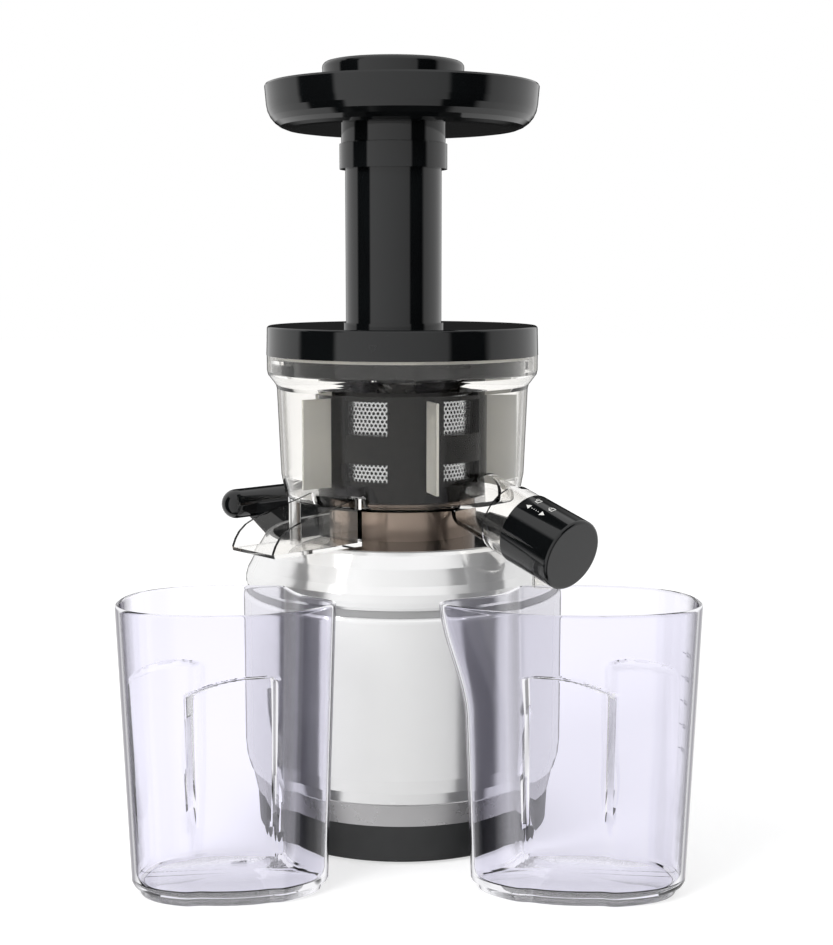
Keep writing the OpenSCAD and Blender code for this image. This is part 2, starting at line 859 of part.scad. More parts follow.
module gearbox_screws() {
    color("silver") cover_screw_places() {
        rod(3, cover_lug_h, 2);
        rod(cover_screw_r, -plate_h, cover_lug_h + plate_h);
    }
}

module shaft_bearing() {
    color("silver") bearing(big_bearing_r, shaft_r + pin_gap, big_bearing_z, big_bearing_h);
}

module drive_shaft() {
    low = stage2_z - 0.4;
    hex_z = collar_top - collar_wall;
    color("lightgray") {
        rod(shaft_r, low, hex_z - low);
        rod(shaft_r + 2, stage2_z + stage2_h, big_bearing_z - run_gap - stage2_z - stage2_h);
        translate([0, 0, hex_z]) cylinder(d = hex_af / cos(30), h = shaft_top - hex_z, $fn = 6);
    }
}

// ---- bowl ----

// Outline of the bowl's outside, from the middle of its floor to its rim
function bowl_outline(grow = 0) = concat(
    [[0, bowl_z - grow]],
    arc(bowl_foot_r - 1.6 - bowl_corner + grow, bowl_z + bowl_corner - grow, bowl_corner, -90, -8),
    [[bowl_foot_r + grow, bowl_z + 14], [bowl_r + grow, bowl_top - flange_h - flange_slope]],
    [[bowl_r + 0.6 + grow, bowl_top - flange_h - flange_slope + 2],
     [flange_r - 0.6 + grow, bowl_top - flange_h - 1],
     [flange_r + grow, bowl_top - flange_h + 1.5], [flange_r + grow, bowl_top]]
);

module bowl_envelope(grow = 0) {
    rotate_extrude() polygon(concat(bowl_outline(grow), [[0, bowl_top]]));
}

module bowl() {
    in_low = bowl_top - flange_h - flange_slope;
    color([0.9, 0.93, 0.95, 0.4]) difference() {
        union() {
            rotate_extrude() polygon(concat(
                bowl_outline(),
                [[flange_r - bowl_wall, bowl_top], [flange_r - bowl_wall, bowl_top - flange_h],
                 [bowl_r - bowl_wall, in_low], [bowl_foot_r - bowl_wall, bowl_z + 14]],
                arc(bowl_foot_r - 1.6 - bowl_corner, bowl_z + bowl_corner,
                    bowl_corner - bowl_wall, -8, -90),
                [[0, bowl_floor_z]]
            ));
            for (i = [0:lug_count - 1])
                sector(flange_r - bowl_wall + 0.3, skirt_r + run_gap, lid_z - skirt_h + lug_h + 0.6,
                    catch_h, 360 * i / lug_count + lug_place, lug_angle);
        }
        rod(bowl_hole_r, bowl_z - over, bowl_wall + 2 * over);
        along_spout(spout_start + spout_end_wall) cylinder(r = spout_in_r, h = 30);
        translate([-bowl_r - over, -trough_shift - exit_w / 2, bowl_floor_z])
            cube([bowl_r - brush_r, exit_w, exit_h]);
    }
}

module bowl_gasket() {
    color("#d8d8d8") {
        tube(bowl_hole_r, hub_out_r + run_gap, bowl_z, bowl_wall);
        tube(bowl_hole_r + 2, hub_out_r + run_gap, bowl_floor_z, 0.6);
    }
}

module juice_spout() {
    color([0.9, 0.93, 0.95, 0.4]) difference() {
        union() {
            along_spout(spout_start) cylinder(r = spout_r, h = spout_tip - spout_start);
            along_spout(spout_collar_s)
                cylinder(r = spout_step_r, h = cap_s - spout_collar_s - run_gap);
        }
        along_spout(spout_start + spout_end_wall)
            cylinder(r = spout_in_r, h = spout_tip - spout_start - 2 * spout_end_wall);
        bowl_envelope();
        outlet_place() rod(outlet_r, -2 * spout_r, 2 * spout_r);
    }
}

// Side outline of the trough: its floor and its curved top edge, x outwards
function trough_side() = let (x0 = trough_root, x1 = trough_reach, z = trough_z) [
    [x0, z], [x1 - 0.6, z], [x1, z + 2.4], [x1 - 1.6, z + 6], [x1 - 4, z + 9.4],
    [x1 - 8, z + 12.6], [x1 - 13.5, z + 15], [x1 - 22, z + 17.6], [x1 - 34, z + 20.4],
    [x1 - 44, z + 22.8], [x1 - 50, z + trough_high], [x0, z + trough_high]
];

module pulp_trough() {
    color([0.9, 0.93, 0.95, 0.4]) difference() {
        translate([0, trough_w / 2 - trough_shift, 0]) rotate([90, 0, 0])
            linear_extrude(trough_w) mirror([1, 0]) polygon(trough_side());
        translate([-trough_reach - over, trough_wall - trough_shift - trough_w / 2,
            trough_z + trough_wall])
            cube([trough_reach + over - trough_root - trough_wall, trough_w - 2 * trough_wall,
                2 * trough_high]);
        translate([-trough_root - 2 * trough_wall, -trough_shift - exit_w / 2, bowl_floor_z])
            cube([3 * trough_wall, exit_w, trough_high]);
        bowl_envelope();
    }
}

module idler_pin() {
    color("silver") rotate([0, 0, idler_turn]) translate([idler_dist, 0, 0]) {
        rod(idler_pin_r, bowl_floor_z, mesh_z + mesh_h - bowl_floor_z);
        rod(1.6 * idler_pin_r, bowl_floor_z, mesh_z - run_gap - bowl_floor_z);
    }
}

module idler_gear() {
    color("#f2f2ee") rotate([0, 0, idler_turn]) translate([idler_dist, 0, mesh_z])
        rotate([0, 0, 180 / idler_teeth]) difference() {
            linear_extrude(mesh_h) gear_outline(idler_teeth, gear_module);
            translate([0, 0, -over]) cylinder(r = idler_pin_r + pin_gap, h = mesh_h + 2 * over);
        }
}

// Cuts for the rows of windows in a round wall of radius r
module wall_windows(r, low, h) {
    step = 360 / cage_windows;
    for (i = [0:cage_windows - 1])
        sector(r + over, r - 4, low, h, window_turn + step * i, step * window_share);
}

module strainer_frame() {
    color("#2e2a26") difference() {
        union() {
            tube(strainer_r, hub_out_r + 1, strainer_z, strainer_floor);
            tube(strainer_r, strainer_r - strainer_wall, strainer_z, strainer_h);
            for (a = [idler_turn + 90, idler_turn - 90])
                sector(leg_out_r, leg_in_r, bowl_floor_z, strainer_z - bowl_floor_z + over, a,
                    leg_angle);
        }
        wall_windows(strainer_r, strainer_z + strainer_floor + 0.8, window_low_h);
        wall_windows(strainer_r, window_high - 0.5, window_high_h + 1);
    }
}

module strainer_mesh() {
    out_r = strainer_r - strainer_wall;
    color("silver") tube(out_r, out_r - mesh_t, strainer_z + strainer_floor,
        strainer_h - strainer_floor - over);
}

module brush_cage() {
    color("#3a342e") {
        difference() {
            tube(brush_r, brush_r - cage_wall, ring_z + ring_h, cage_top - ring_z - ring_h);
            wall_windows(brush_r, window_low, window_low_h);
            wall_windows(brush_r, window_high, window_high_h);
        }
        difference() {
            rod(brush_r, ring_z, ring_h);
            translate([0, 0, ring_z - over])
                rotate([0, 0, idler_turn + 180 / ring_teeth])
                linear_extrude(ring_h + 2 * over)
                    gear_outline(ring_teeth, gear_module, tip = 1.15, root = 0.8, slack = -0.12);
        }
    }
}

module wiper_blades() {
    low = bowl_z + 9;
    color([0.9, 0.9, 0.88, 0.8]) for (i = [0:blade_count - 1])
        rotate([0, 0, blade_turn + 360 * i / blade_count]) translate([brush_r, -blade_t / 2, low])
            cube([blade_reach - brush_r, blade_t, cage_top - 5 - low]);
}

// Ring of points round the auger at share k of its height
function auger_ring(k) = let (
    z = hub_top + (auger_top - hub_top) * k,
    core = auger_core_low + (auger_core_high - auger_core_low) * smooth(k * 1.15 - 0.05),
    fade = min(1, 10 * (1 - k) + 0.15)
) [for (i = [0:auger_sides - 1]) let (
    a = 360 * i / auger_sides,
    ridge = pow(abs(cos(auger_starts * (a - 360 * auger_turns * k) / 2)), 12),
    r = core + (flight_r - core) * ridge * fade
) [r * cos(a), r * sin(a), z]];

module auger_screw() {
    n = auger_sides;
    points = concat([for (k = [0:auger_rings]) each auger_ring(k / auger_rings)],
        [[0, 0, hub_top], [0, 0, auger_top]]);
    low = n * (auger_rings + 1);
    sides = [for (k = [0:auger_rings - 1], i = [0:n - 1]) let (
        a = k * n + i, b = k * n + (i + 1) % n) each [[a, a + n, b], [b, a + n, b + n]]];
    ends = [for (i = [0:n - 1]) let (j = (i + 1) % n, t = auger_rings * n)
        each [[low, i, j], [low + 1, t + j, t + i]]];
    color("#3b3631") polyhedron(points = points, faces = concat(sides, ends));
}

module auger_hub() {
    color("#e9e9e6") difference() {
        union() {
            rod(hub_out_r, bowl_z - hub_foot, hub_top - bowl_z + hub_foot);
            translate([0, 0, mesh_z]) rotate([0, 0, idler_turn])
                linear_extrude(mesh_h) gear_outline(sun_teeth, gear_module);
        }
        translate([0, 0, bowl_z - hub_foot - over])
            cylinder(d = (hex_af + 2 * run_gap) / cos(30), h = hub_top - bowl_z + hub_foot + 0.2,
                $fn = 6);
    }
}

module auger_pin() {
    color("silver") rod(auger_pin_r, auger_top, lid_top - lid_plate - auger_top - over);
}

// ---- cap of the juice spout ----

module juice_cap() {
    color("#111111") difference() {
        along_spout(cap_s) rotate_extrude() polygon(concat(
            [[spout_r + run_gap, 0], [cap_r, 0]],
            arc(cap_r - 1.6, cap_len - 1.6, 1.6, 0, 90),
            [[0, cap_len], [0, cap_len - cap_wall], [spout_r + run_gap, cap_len - cap_wall]]
        ));
        outlet_place() rod(nozzle_r, -3 * spout_r, 3 * spout_r);
    }
}

// Puts children on the spout's centre line above its outlet, with +Z up
module outlet_place() {
    translate([0, -outlet_s * cos(spout_slope), spout_z - outlet_s * sin(spout_slope)]) children();
}

module drip_nozzle() {
    drop = cap_r / cos(spout_slope) + nozzle_len;
    color([0.9, 0.93, 0.95, 0.4]) difference() {
        outlet_place() rod(nozzle_r, -drop, drop);
        outlet_place() rod(nozzle_r - nozzle_wall, -drop - over, 2 * drop);
        along_spout(cap_s - 1) cylinder(r = spout_r + run_gap, h = cap_len);
    }
}

module cap_seal() {
    color("#cfcfcf") along_spout()
        tube(spout_r - 1, spout_r - 1 - seal_w, spout_tip + run_gap,
            cap_s + cap_len - cap_wall - spout_tip - run_gap);
}

// ---- lid, chute, tray and pusher ----

module lid() {
    color("#141414") difference() {
        union() {
            rotate_extrude() polygon(concat(
                [[skirt_r - skirt_wall, lid_z - skirt_h], [skirt_r, lid_z - skirt_h],
                 [skirt_r, lid_z], [lid_r, lid_z]],
                arc(lid_r - 0.4 - lid_edge, lid_top - lid_edge, lid_edge, 0, 90),
                [[0, lid_top], [0, lid_top - lid_plate],
                 [skirt_r - skirt_wall - 2, lid_top - lid_plate],
                 [skirt_r - skirt_wall, lid_top - lid_plate - 2]]
            ));
            for (i = [0:lug_count - 1])
                sector(lug_r, skirt_r - 1, lid_z - skirt_h, lug_h,
                    360 * i / lug_count + lug_place, lug_angle);
            translate([chute_x, chute_y, lid_top - lid_plate]) {
                cylinder(r = chute_r, h = ring_top - lid_top + lid_plate);
                cylinder(r = chute_r + 1.2, h = lid_plate + 2.4);
                translate([0, 0, ring_top - lid_top + lid_plate - chute_ring_h])
                    cylinder(r = chute_ring_r, h = chute_ring_h);
                translate([0, 0, ring_top - lid_top + lid_plate - over])
                    cylinder(r = chute_r - 0.4, h = spigot_up + over);
            }
            rod(lid_boss_r, auger_top + 4, lid_top - auger_top - 4 - lid_plate / 2);
        }
        difference() {
            translate([chute_x, chute_y, lid_z]) cylinder(r = chute_in_r, h = 2 * chute_h);
            rod(lid_boss_r, lid_z - skirt_h, lid_h + skirt_h);
        }
        rod(auger_pin_r + pin_gap, auger_top, lid_top - lid_plate - auger_top);
    }
}

module lid_seal() {
    color("#d0d0cf") tube(skirt_r + seal_t, skirt_r, lid_z - seal_t, seal_t);
}

module hopper_tray() {
    floor_r = tray_r - tray_corner;
    neck_in = chute_r - 0.4 + run_gap;
    color("#141414") difference() {
        union() {
            rotate_extrude() polygon(concat(
                [[0, tray_z]],
                arc(floor_r - 0.8, tray_z + tray_corner, tray_corner, -90, -4),
                [[tray_r, tray_top - 1], [tray_r - 0.6, tray_top],
                 [tray_r - tray_wall + 0.6, tray_top], [tray_r - tray_wall, tray_top - 1]],
                arc(floor_r - 0.8, tray_z + tray_corner, tray_corner - tray_wall, -4, -90),
                [[0, tray_z + tray_wall]]
            ));
            translate([chute_x, chute_y, ring_top + run_gap])
                cylinder(r = neck_r, h = neck_h - run_gap + over);
        }
        translate([chute_x, chute_y, ring_top - over]) {
            cylinder(r = neck_in, h = spigot_up + over + run_gap);
            cylinder(r = chute_in_r, h = 2 * tray_h);
        }
    }
}

module pusher_cap() {
    rest_z = tray_z + tray_wall + run_gap;
    color("#141414") translate([chute_x, chute_y, 0]) rotate_extrude() polygon(concat(
        [[pusher_cap_r - pusher_wall - 1, rest_z], [pusher_cap_r - 1, rest_z]],
        arc(pusher_cap_r - cap_round, pusher_top - cap_round, cap_round, 0, 84),
        [[0, pusher_top + 0.4], [0, pusher_top - pusher_wall],
         [pusher_cap_r - cap_round, pusher_top - pusher_wall],
         [pusher_cap_r - pusher_wall, pusher_top - cap_round]]
    ));
}

module pusher_stem() {
    color("#1d1d1e") translate([chute_x, chute_y, 0]) difference() {
        rod(pusher_r, pusher_low, pusher_top - pusher_wall - pusher_low);
        rod(pusher_r - pusher_wall, pusher_low + pusher_wall, pusher_top);
    }
}

// ---- jugs ----

// Corners that shape a jug's rim, x along it from the inner end and y to its front,
// as shares of half its length and half its depth
function rim_shape(lip) = [
    [-1.05 - lip, 0.13], [-0.86 - 0.5 * lip, -0.12], [-0.66, -0.32], [-0.53, -0.74],
    [-0.42, -1.02], [0.0, -1.06], [0.5, -0.99], [0.93, -0.62], [1.03, 0.0],
    [1.0, 0.55], [0.68, 0.94], [0.1, 1.06], [-0.46, 0.95], [-0.86 - 0.45 * lip, 0.55]
];

// Point of a closed cubic B-spline through the corners' control net
function spline_point(p, t) = let (
    n = len(p), i = floor(t * n), u = t * n - i,
    a = p[(i + n - 1) % n], b = p[i % n], c = p[(i + 1) % n], d = p[(i + 2) % n]
) (pow(1 - u, 3) * a + (3 * u * u * u - 6 * u * u + 4) * b
    + (-3 * u * u * u + 3 * u * u + 3 * u + 1) * c + u * u * u * d) / 6;

// Depth of a finger grip pressed into the wall at a point
function grip_at(x, y, z) = let (
    front = y > 0, place = front ? front_grip : back_grip,
    across = smooth(1.6 - 1.5 * abs(x - place) / grip_wide),
    down = smooth((grip_top - z) / 5) * (0.35 + 0.65 * smooth((z - 10) / grip_fade))
) grip_deep * across * down;

// Ring of a jug: z above the table, inset of the wall, side +1 or -1
function jug_ring(z, inset, side, long, lip_len, share = 1) = let (
    k = (z - foot_lift) / (jug_h - foot_lift),
    lip = lip_len * smooth((z - lip_low) / (jug_h - lip_low)) * 2 / long,
    half_x = long / 2 * (jug_draft_len + (1 - jug_draft_len) * k) * share - inset,
    half_y = jug_depth / 2 * (jug_draft_depth + (1 - jug_draft_depth) * k) * share - inset
) [for (i = [0:jug_sides - 1]) let (
    p = spline_point(rim_shape(lip), i / jug_sides),
    x = p[0] * half_x, y = p[1] * half_y,
    pressed = y - sign(y) * grip_at(x, y, z)
) [side * x, -pressed, z]];

module ring_stack(rings, side) {
    n = jug_sides;
    last = len(rings) - 1;
    points = concat([for (r = rings) each r],
        [[side * 2, 0, rings[0][0][2]], [side * 2, 0, rings[last][0][2]]]);
    base = n * (last + 1);
    sides = [for (k = [0:last - 1], i = [0:n - 1]) let (
        a = k * n + i, b = k * n + (i + 1) % n) each [[a, b, a + n], [b, b + n, a + n]]];
    ends = [for (i = [0:n - 1]) let (j = (i + 1) % n, t = last * n)
        each [[base, j, i], [base + 1, t + i, t + j]]];
    faces = concat(sides, ends);
    polyhedron(points = points, faces = side > 0 ? faces : [for (f = faces) [f[0], f[2], f[1]]]);
}

module jug(side, place, long, lip_len) {
    heights = [for (k = [0:jug_rings]) foot_lift + (jug_h - foot_lift) * k / jug_rings];
    in_low = foot_lift + jug_floor;
    inner = [for (k = [0:jug_rings]) in_low + (jug_h + over - in_low) * k / jug_rings];
    rotate([0, 0, -view_turn]) translate([side * place, -jug_front, 0]) difference() {
        union() {
            ring_stack([for (z = heights) jug_ring(z, 0, side, long, lip_len)], side);
            ring_stack([jug_ring(0, 0, side, long, 0, foot_share - 0.02),
                jug_ring(foot_lift + over, 0, side, long, 0, foot_share)], side);
        }
        ring_stack([for (z = inner) jug_ring(z, jug_wall, side, long, lip_len)], side);
    }
}

module pulp_jug() {
    color([0.85, 0.85, 0.95, 0.4]) jug(-1, pulp_jug_side, pulp_jug_len, 0);
}

module juice_jug() {
    color([0.85, 0.85, 0.95, 0.4]) jug(1, juice_jug_side, juice_jug_len, lip_out);
}

foot_ring();
base_pan();
pan_screws();
trim_ring();
lower_housing();
groove_ring();
upper_housing();
deck_plate();
dock_collar();
shaft_seal();
handle_grip();
handle_screws();
switch_bezel();
switch_rocker();
cord_gland();
interlock_pin();
interlock_switch();
circuit_board();
run_capacitor();
motor_plate();
motor_can();
stator_core();
stator_windings();
rotor_bearings();
rotor_shaft();
rotor_core();
cooling_fan();
gear_axle();
compound_gear();
output_gear();
gearbox_cover();
gearbox_screws();
shaft_bearing();
drive_shaft();
bowl();
bowl_gasket();
juice_spout();
pulp_trough();
idler_pin();
idler_gear();
strainer_frame();
strainer_mesh();
brush_cage();
wiper_blades();
auger_screw();
auger_hub();
auger_pin();
juice_cap();
cap_seal();
drip_nozzle();
lid();
lid_seal();
hopper_tray();
pusher_cap();
pusher_stem();
pulp_jug();
juice_jug();
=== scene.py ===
# %% [markdown]
# # A slow juicer in Blender
#
# This lesson dresses the CAD model of an upright slow juicer. The CAD frame already holds
# every solid in its true place, in metres, so nothing is moved here. Each cell makes one
# finish or one piece, and says what it is on the real machine and why it is made this way.

# %% Load the frame
import json
import math

import bmesh
import bpy
from mathutils import Matrix, Vector


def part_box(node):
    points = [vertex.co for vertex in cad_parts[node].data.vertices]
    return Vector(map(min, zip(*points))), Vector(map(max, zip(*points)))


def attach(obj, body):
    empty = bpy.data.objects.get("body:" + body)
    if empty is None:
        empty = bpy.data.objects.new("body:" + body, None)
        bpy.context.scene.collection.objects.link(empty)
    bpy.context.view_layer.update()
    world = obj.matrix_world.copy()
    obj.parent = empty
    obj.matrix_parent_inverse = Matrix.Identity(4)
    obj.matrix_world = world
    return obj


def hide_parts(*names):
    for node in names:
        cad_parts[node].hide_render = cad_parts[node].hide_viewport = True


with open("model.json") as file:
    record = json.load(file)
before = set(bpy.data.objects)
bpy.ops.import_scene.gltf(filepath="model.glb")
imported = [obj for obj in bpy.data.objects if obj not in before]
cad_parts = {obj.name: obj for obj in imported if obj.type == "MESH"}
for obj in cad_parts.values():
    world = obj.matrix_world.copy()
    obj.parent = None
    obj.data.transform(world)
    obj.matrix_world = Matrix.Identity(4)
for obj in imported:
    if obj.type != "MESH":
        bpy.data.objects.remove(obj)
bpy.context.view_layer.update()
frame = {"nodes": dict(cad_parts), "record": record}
nodes = frame["nodes"]

# %% [markdown]
# Two small helpers come first. Colours are written as sRGB hex, as a paint chart gives them,
# and Blender's shaders work in linear light, so one function turns one into the other. The
# other helper adds a node to a tree, sets its sockets and links them, which keeps each
# finish short enough to read.


# %% Colour and node helpers
def linear(hex_code):
    """sRGB hex such as "#ececec" as linear red, green, blue and alpha."""
    parts = [int(hex_code[i:i + 2], 16) / 255 for i in (1, 3, 5)]
    return [c / 12.92 if c <= 0.04045 else ((c + 0.055) / 1.055) ** 2.4 for c in parts] + [1]


def add(tree, kind, sockets=None, **settings):
    """A new node: settings are its own fields, sockets its inputs' values or links."""
    node = tree.nodes.new(kind)
    for name, value in settings.items():
        setattr(node, name, value)
    for name, value in (sockets or {}).items():
        if isinstance(value, bpy.types.NodeSocket):
            tree.links.new(value, node.inputs[name])
        else:
            node.inputs[name].default_value = value
    return node


def ramp(tree, factor, stops):
    """A colour ramp over a factor; stops are pairs of a position and a colour."""
    node = add(tree, "ShaderNodeValToRGB", {"Fac": factor})
    band = node.color_ramp
    while len(band.elements) < len(stops):
        band.elements.new(1)
    for element, (place, colour) in zip(band.elements, stops):
        element.position, element.color = place, colour
    return node


def finish_named(name):
    """An empty material with a Principled shader: the material, its tree, the shader."""
    material = bpy.data.materials.new(name)
    material.use_nodes = True
    tree = material.node_tree
    tree.nodes.clear()
    shader = add(tree, "ShaderNodeBsdfPrincipled")
    add(tree, "ShaderNodeOutputMaterial", {"Surface": shader.outputs[0]})
    return material, tree, shader


MM = 0.001
print("mid grey is", [round(c, 4) for c in linear("#808080")[:3]])

# %% [markdown]
# The camera stands where the photograph was taken from: a little above the bowl, looking
# slightly down. Its place was found by laying the CAD model's rims over the photograph's.

# %% Camera
LENS = 61.22  # millimetres, on a 36 mm sensor
PITCH = 7.33  # degrees below the horizontal
VIEW_TURN = 42  # degrees between the spout's direction and the camera's
camera = bpy.data.objects.new("camera", bpy.data.cameras.new("camera"))
camera.data.lens = LENS
camera.data.sensor_width = 36
camera.matrix_world = (
    Matrix.Rotation(math.radians(-VIEW_TURN), 4, "Z")
    @ Matrix.Translation((0.0077, -0.87663, 0.30673))
    @ Matrix.Rotation(math.radians(90 - PITCH), 4, "X")
)
bpy.context.scene.collection.objects.link(camera)
bpy.context.scene.camera = camera
bpy.context.scene.view_settings.view_transform = "Standard"
print("camera at", [round(c, 3) for c in camera.matrix_world.translation])

# %% [markdown]
# The studio is a white tent with dark flags, which is how shiny kitchen machines are
# photographed: the flags draw the crisp dark stripes on the black and silver plastic. The
# world holds them, so that they surround the machine without standing in front of it. Only
# glossy rays see the flags. The camera sees plain white, and so does clear plastic.

# %% World: white tent with two dark flags
# Each pair is a direction, in degrees from the camera towards its right, and how bright
# the tent is there. A dark cloth hangs right behind the machine, out of the flags' way.
WALLS = [(-180, 0.02), (-167, 0.02), (-158, 0.95), (-97, 0.95), (-92, 0.0), (-59, 0.0),
         (-55, 1.1), (-40, 1.06), (26, 0.78), (38, 0.7), (42, 0.0), (72, 0.0), (80, 0.85),
         (100, 1.0), (158, 0.95), (167, 0.02), (180, 0.02)]
TABLE = [(-180, 0.02), (-167, 0.02), (-158, 0.9), (-90, 0.9), (-75, 0.03), (70, 0.03),
         (85, 0.9), (158, 0.9), (167, 0.02), (180, 0.02)]
SKY_LIGHT = 0.8  # what falls on a surface from all round, before the lamps


def build_world():
    world = bpy.data.worlds.new("white_tent")
    bpy.context.scene.world = world
    world.use_nodes = True
    tree = world.node_tree
    tree.nodes.clear()
    place = add(tree, "ShaderNodeTexCoord").outputs["Generated"]
    turned = add(tree, "ShaderNodeVectorRotate",
                 {"Vector": place, "Angle": math.radians(VIEW_TURN)}, rotation_type="Z_AXIS")
    xyz = add(tree, "ShaderNodeSeparateXYZ", {0: turned.outputs[0]}).outputs
    back = add(tree, "ShaderNodeMath", {0: xyz["Y"], 1: -1.0}, operation="MULTIPLY")
    angle = add(tree, "ShaderNodeMath", {0: xyz["X"], 1: back.outputs[0]},
                operation="ARCTAN2")
    share = add(tree, "ShaderNodeMath", {0: angle.outputs[0], 1: 1 / math.tau, 2: 0.5},
                operation="MULTIPLY_ADD")
    walls, table = (ramp(tree, share.outputs[0], [
        ((a + 180) / 360, (v, v, v, 1)) for a, v in bands]) for bands in (WALLS, TABLE))
    level = add(tree, "ShaderNodeMapRange", {
        "Value": xyz["Z"], "From Min": -0.95, "From Max": -0.85})
    bands = add(tree, "ShaderNodeMix", {
        0: level.outputs[0], 6: table.outputs[0], 7: walls.outputs[0]}, data_type="RGBA")
    # the flags end below the ceiling, so upward faces see white
    ceiling = add(tree, "ShaderNodeMapRange", {
        "Value": xyz["Z"], "From Min": 0.62, "From Max": 0.72,
        "To Min": 0.0, "To Max": 1.0})
    tent = add(tree, "ShaderNodeMix", {
        0: ceiling.outputs[0], 6: bands.outputs[2], 7: (1, 1, 1, 1)}, data_type="RGBA")
    rays = add(tree, "ShaderNodeLightPath").outputs
    plain = add(tree, "ShaderNodeMath",
                {0: rays["Is Camera Ray"], 1: rays["Is Transmission Ray"]},
                operation="MAXIMUM")
    glossy = add(tree, "ShaderNodeMix", {
        0: rays["Is Glossy Ray"], 6: (SKY_LIGHT, SKY_LIGHT, SKY_LIGHT, 1),
        7: tent.outputs[2]}, data_type="RGBA")
    seen = add(tree, "ShaderNodeMix", {
        0: plain.outputs[0], 6: glossy.outputs[2], 7: (1, 1, 1, 1)}, data_type="RGBA")
    shine = add(tree, "ShaderNodeBackground", {"Color": seen.outputs[2], "Strength": 1.0})
    add(tree, "ShaderNodeOutputWorld", {0: shine.outputs[0]})


build_world()
print("flags at", [a for a, v in WALLS if v == 0], "degrees from the camera")

# %% [markdown]
# One soft lamp high at the camera's left gives the white body a gentle shade towards the
# right. The floor is pale, and to the camera it also glows a little, so that it is white
# without more light on the machine, while it still takes the soft shadow.


# %% Lamp and floor
def soft_lamp(name, place, size, watts):
    lamp = bpy.data.objects.new(name, bpy.data.lights.new(name, "AREA"))
    lamp.data.shape, lamp.data.size, lamp.data.energy = "DISK", size, watts
    spot = Matrix.Rotation(math.radians(-VIEW_TURN), 3, "Z") @ Vector(place)
    lamp.location = spot
    lamp.rotation_euler = (spot - Vector((0, 0, 0.2))).to_track_quat("Z", "Y").to_euler()
    lamp.visible_glossy = False
    bpy.context.scene.collection.objects.link(lamp)


def build_floor():
    bm = bmesh.new()
    bmesh.ops.create_circle(bm, cap_ends=True, segments=64, radius=6)
    mesh = bpy.data.meshes.new("floor")
    bm.to_mesh(mesh)
    floor = bpy.data.objects.new("floor", mesh)
    bpy.context.scene.collection.objects.link(floor)
    material, tree, shader = finish_named("pale_paper")
    rays = add(tree, "ShaderNodeLightPath").outputs
    seen = add(tree, "ShaderNodeMath",
               {0: rays["Is Camera Ray"], 1: rays["Is Transmission Ray"]},
               operation="MAXIMUM")
    glow = add(tree, "ShaderNodeMath", {0: seen.outputs[0], 1: 0.62}, operation="MULTIPLY")
    shader.inputs["Base Color"].default_value = linear("#b9b9b9")
    shader.inputs["Roughness"].default_value = 0.9
    shader.inputs["Specular IOR Level"].default_value = 0.0
    shader.inputs["Emission Color"].default_value = (1, 1, 1, 1)
    tree.links.new(glow.outputs[0], shader.inputs["Emission Strength"])
    mesh.materials.append(material)
    floor.visible_glossy = False  # the world stands for the table in reflections


soft_lamp("key_lamp", (-0.9, -1.0, 1.5), 0.9, 22)
build_floor()

# %% [markdown]
# Every finish below is procedural and reads Object coordinates, so it sticks to its piece
# and needs no picture. Two helpers serve them all: `grain` makes a noise whose size is
# given in millimetres, and `relief` turns a pattern into a bump that is that deep.


# %% Pattern helpers
def grain(tree, size, detail=2.0, stretch=(1, 1, 1)):
    """Noise with features of `size` millimetres, stretched along an axis if asked."""
    place = add(tree, "ShaderNodeTexCoord").outputs["Object"]
    scaled = add(tree, "ShaderNodeMapping", {"Vector": place, "Scale": stretch})
    return add(tree, "ShaderNodeTexNoise", {
        "Vector": scaled.outputs[0], "Scale": 1 / (size * MM), "Detail": detail,
        "Roughness": 0.55}).outputs["Fac"]


def relief(tree, shader, height, depth, strength=1.0):
    """A bump on the shader from a 0 to 1 height that is `depth` millimetres deep."""
    bump = add(tree, "ShaderNodeBump", {
        "Height": height, "Distance": depth * MM, "Strength": strength})
    tree.links.new(bump.outputs[0], shader.inputs["Normal"])
    return bump


def between(tree, factor, low, high):
    """A number that goes from low to high with the factor."""
    return add(tree, "ShaderNodeMapRange", {
        "Value": factor, "From Min": 0.3, "From Max": 0.7, "To Min": low, "To Max": high,
    }).outputs[0]


def plastic(name, colour, shade, rough, texture, depth, ior=1.53, wipe=25):
    """Moulded plastic: colour with faint mottling to `shade`, and a surface texture."""
    material, tree, shader = finish_named(name)
    cloud = grain(tree, wipe, 3)
    tint = ramp(tree, cloud, [(0.3, linear(colour)), (0.7, linear(shade))])
    tree.links.new(tint.outputs[0], shader.inputs["Base Color"])
    tree.links.new(between(tree, grain(tree, wipe / 3, 4), *rough),
                   shader.inputs["Roughness"])
    shader.inputs["IOR"].default_value = ior
    relief(tree, shader, grain(tree, texture, 3), depth)
    return material, tree, shader


print("a 0.4 mm grain has scale", 1 / (0.4 * MM))

# %% [markdown]
# Piano black ABS is moulded in a polished tool. What the eye sees is almost only what it
# reflects, so the colour is nearly black, the roughness low with faint wipe marks, and the
# bump is the very shallow waviness of a moulded wall.
#
# The body is lacquered in pearl silver-white. Its clear stripes are lighter and darker
# than any white plastic could show, so over half of it is metallic, with a fine flake.


# %% Finishes of the body
def polished_black_abs():
    return plastic("polished_black_abs", "#0c0d0e", "#0e1011", (0.05, 0.09), 28, 0.012)[0]


def pearl_lacquer(name, colour, shade, metallic, rough):
    material, tree, shader = plastic(name, colour, shade, rough, 1.1, 0.0012, wipe=40)
    shader.inputs["Metallic"].default_value = metallic
    return material


def eroded_black_abs():
    # spark-eroded tool: a fine matt texture, drawn at 0.5 mm so that it shows
    return plastic("eroded_black_abs", "#1f2021", "#252627", (0.36, 0.48), 0.5, 0.02)[0]


def moulded_rubber():
    return plastic("moulded_rubber", "#161617", "#1f1f20", (0.6, 0.75), 0.9, 0.05)[0]


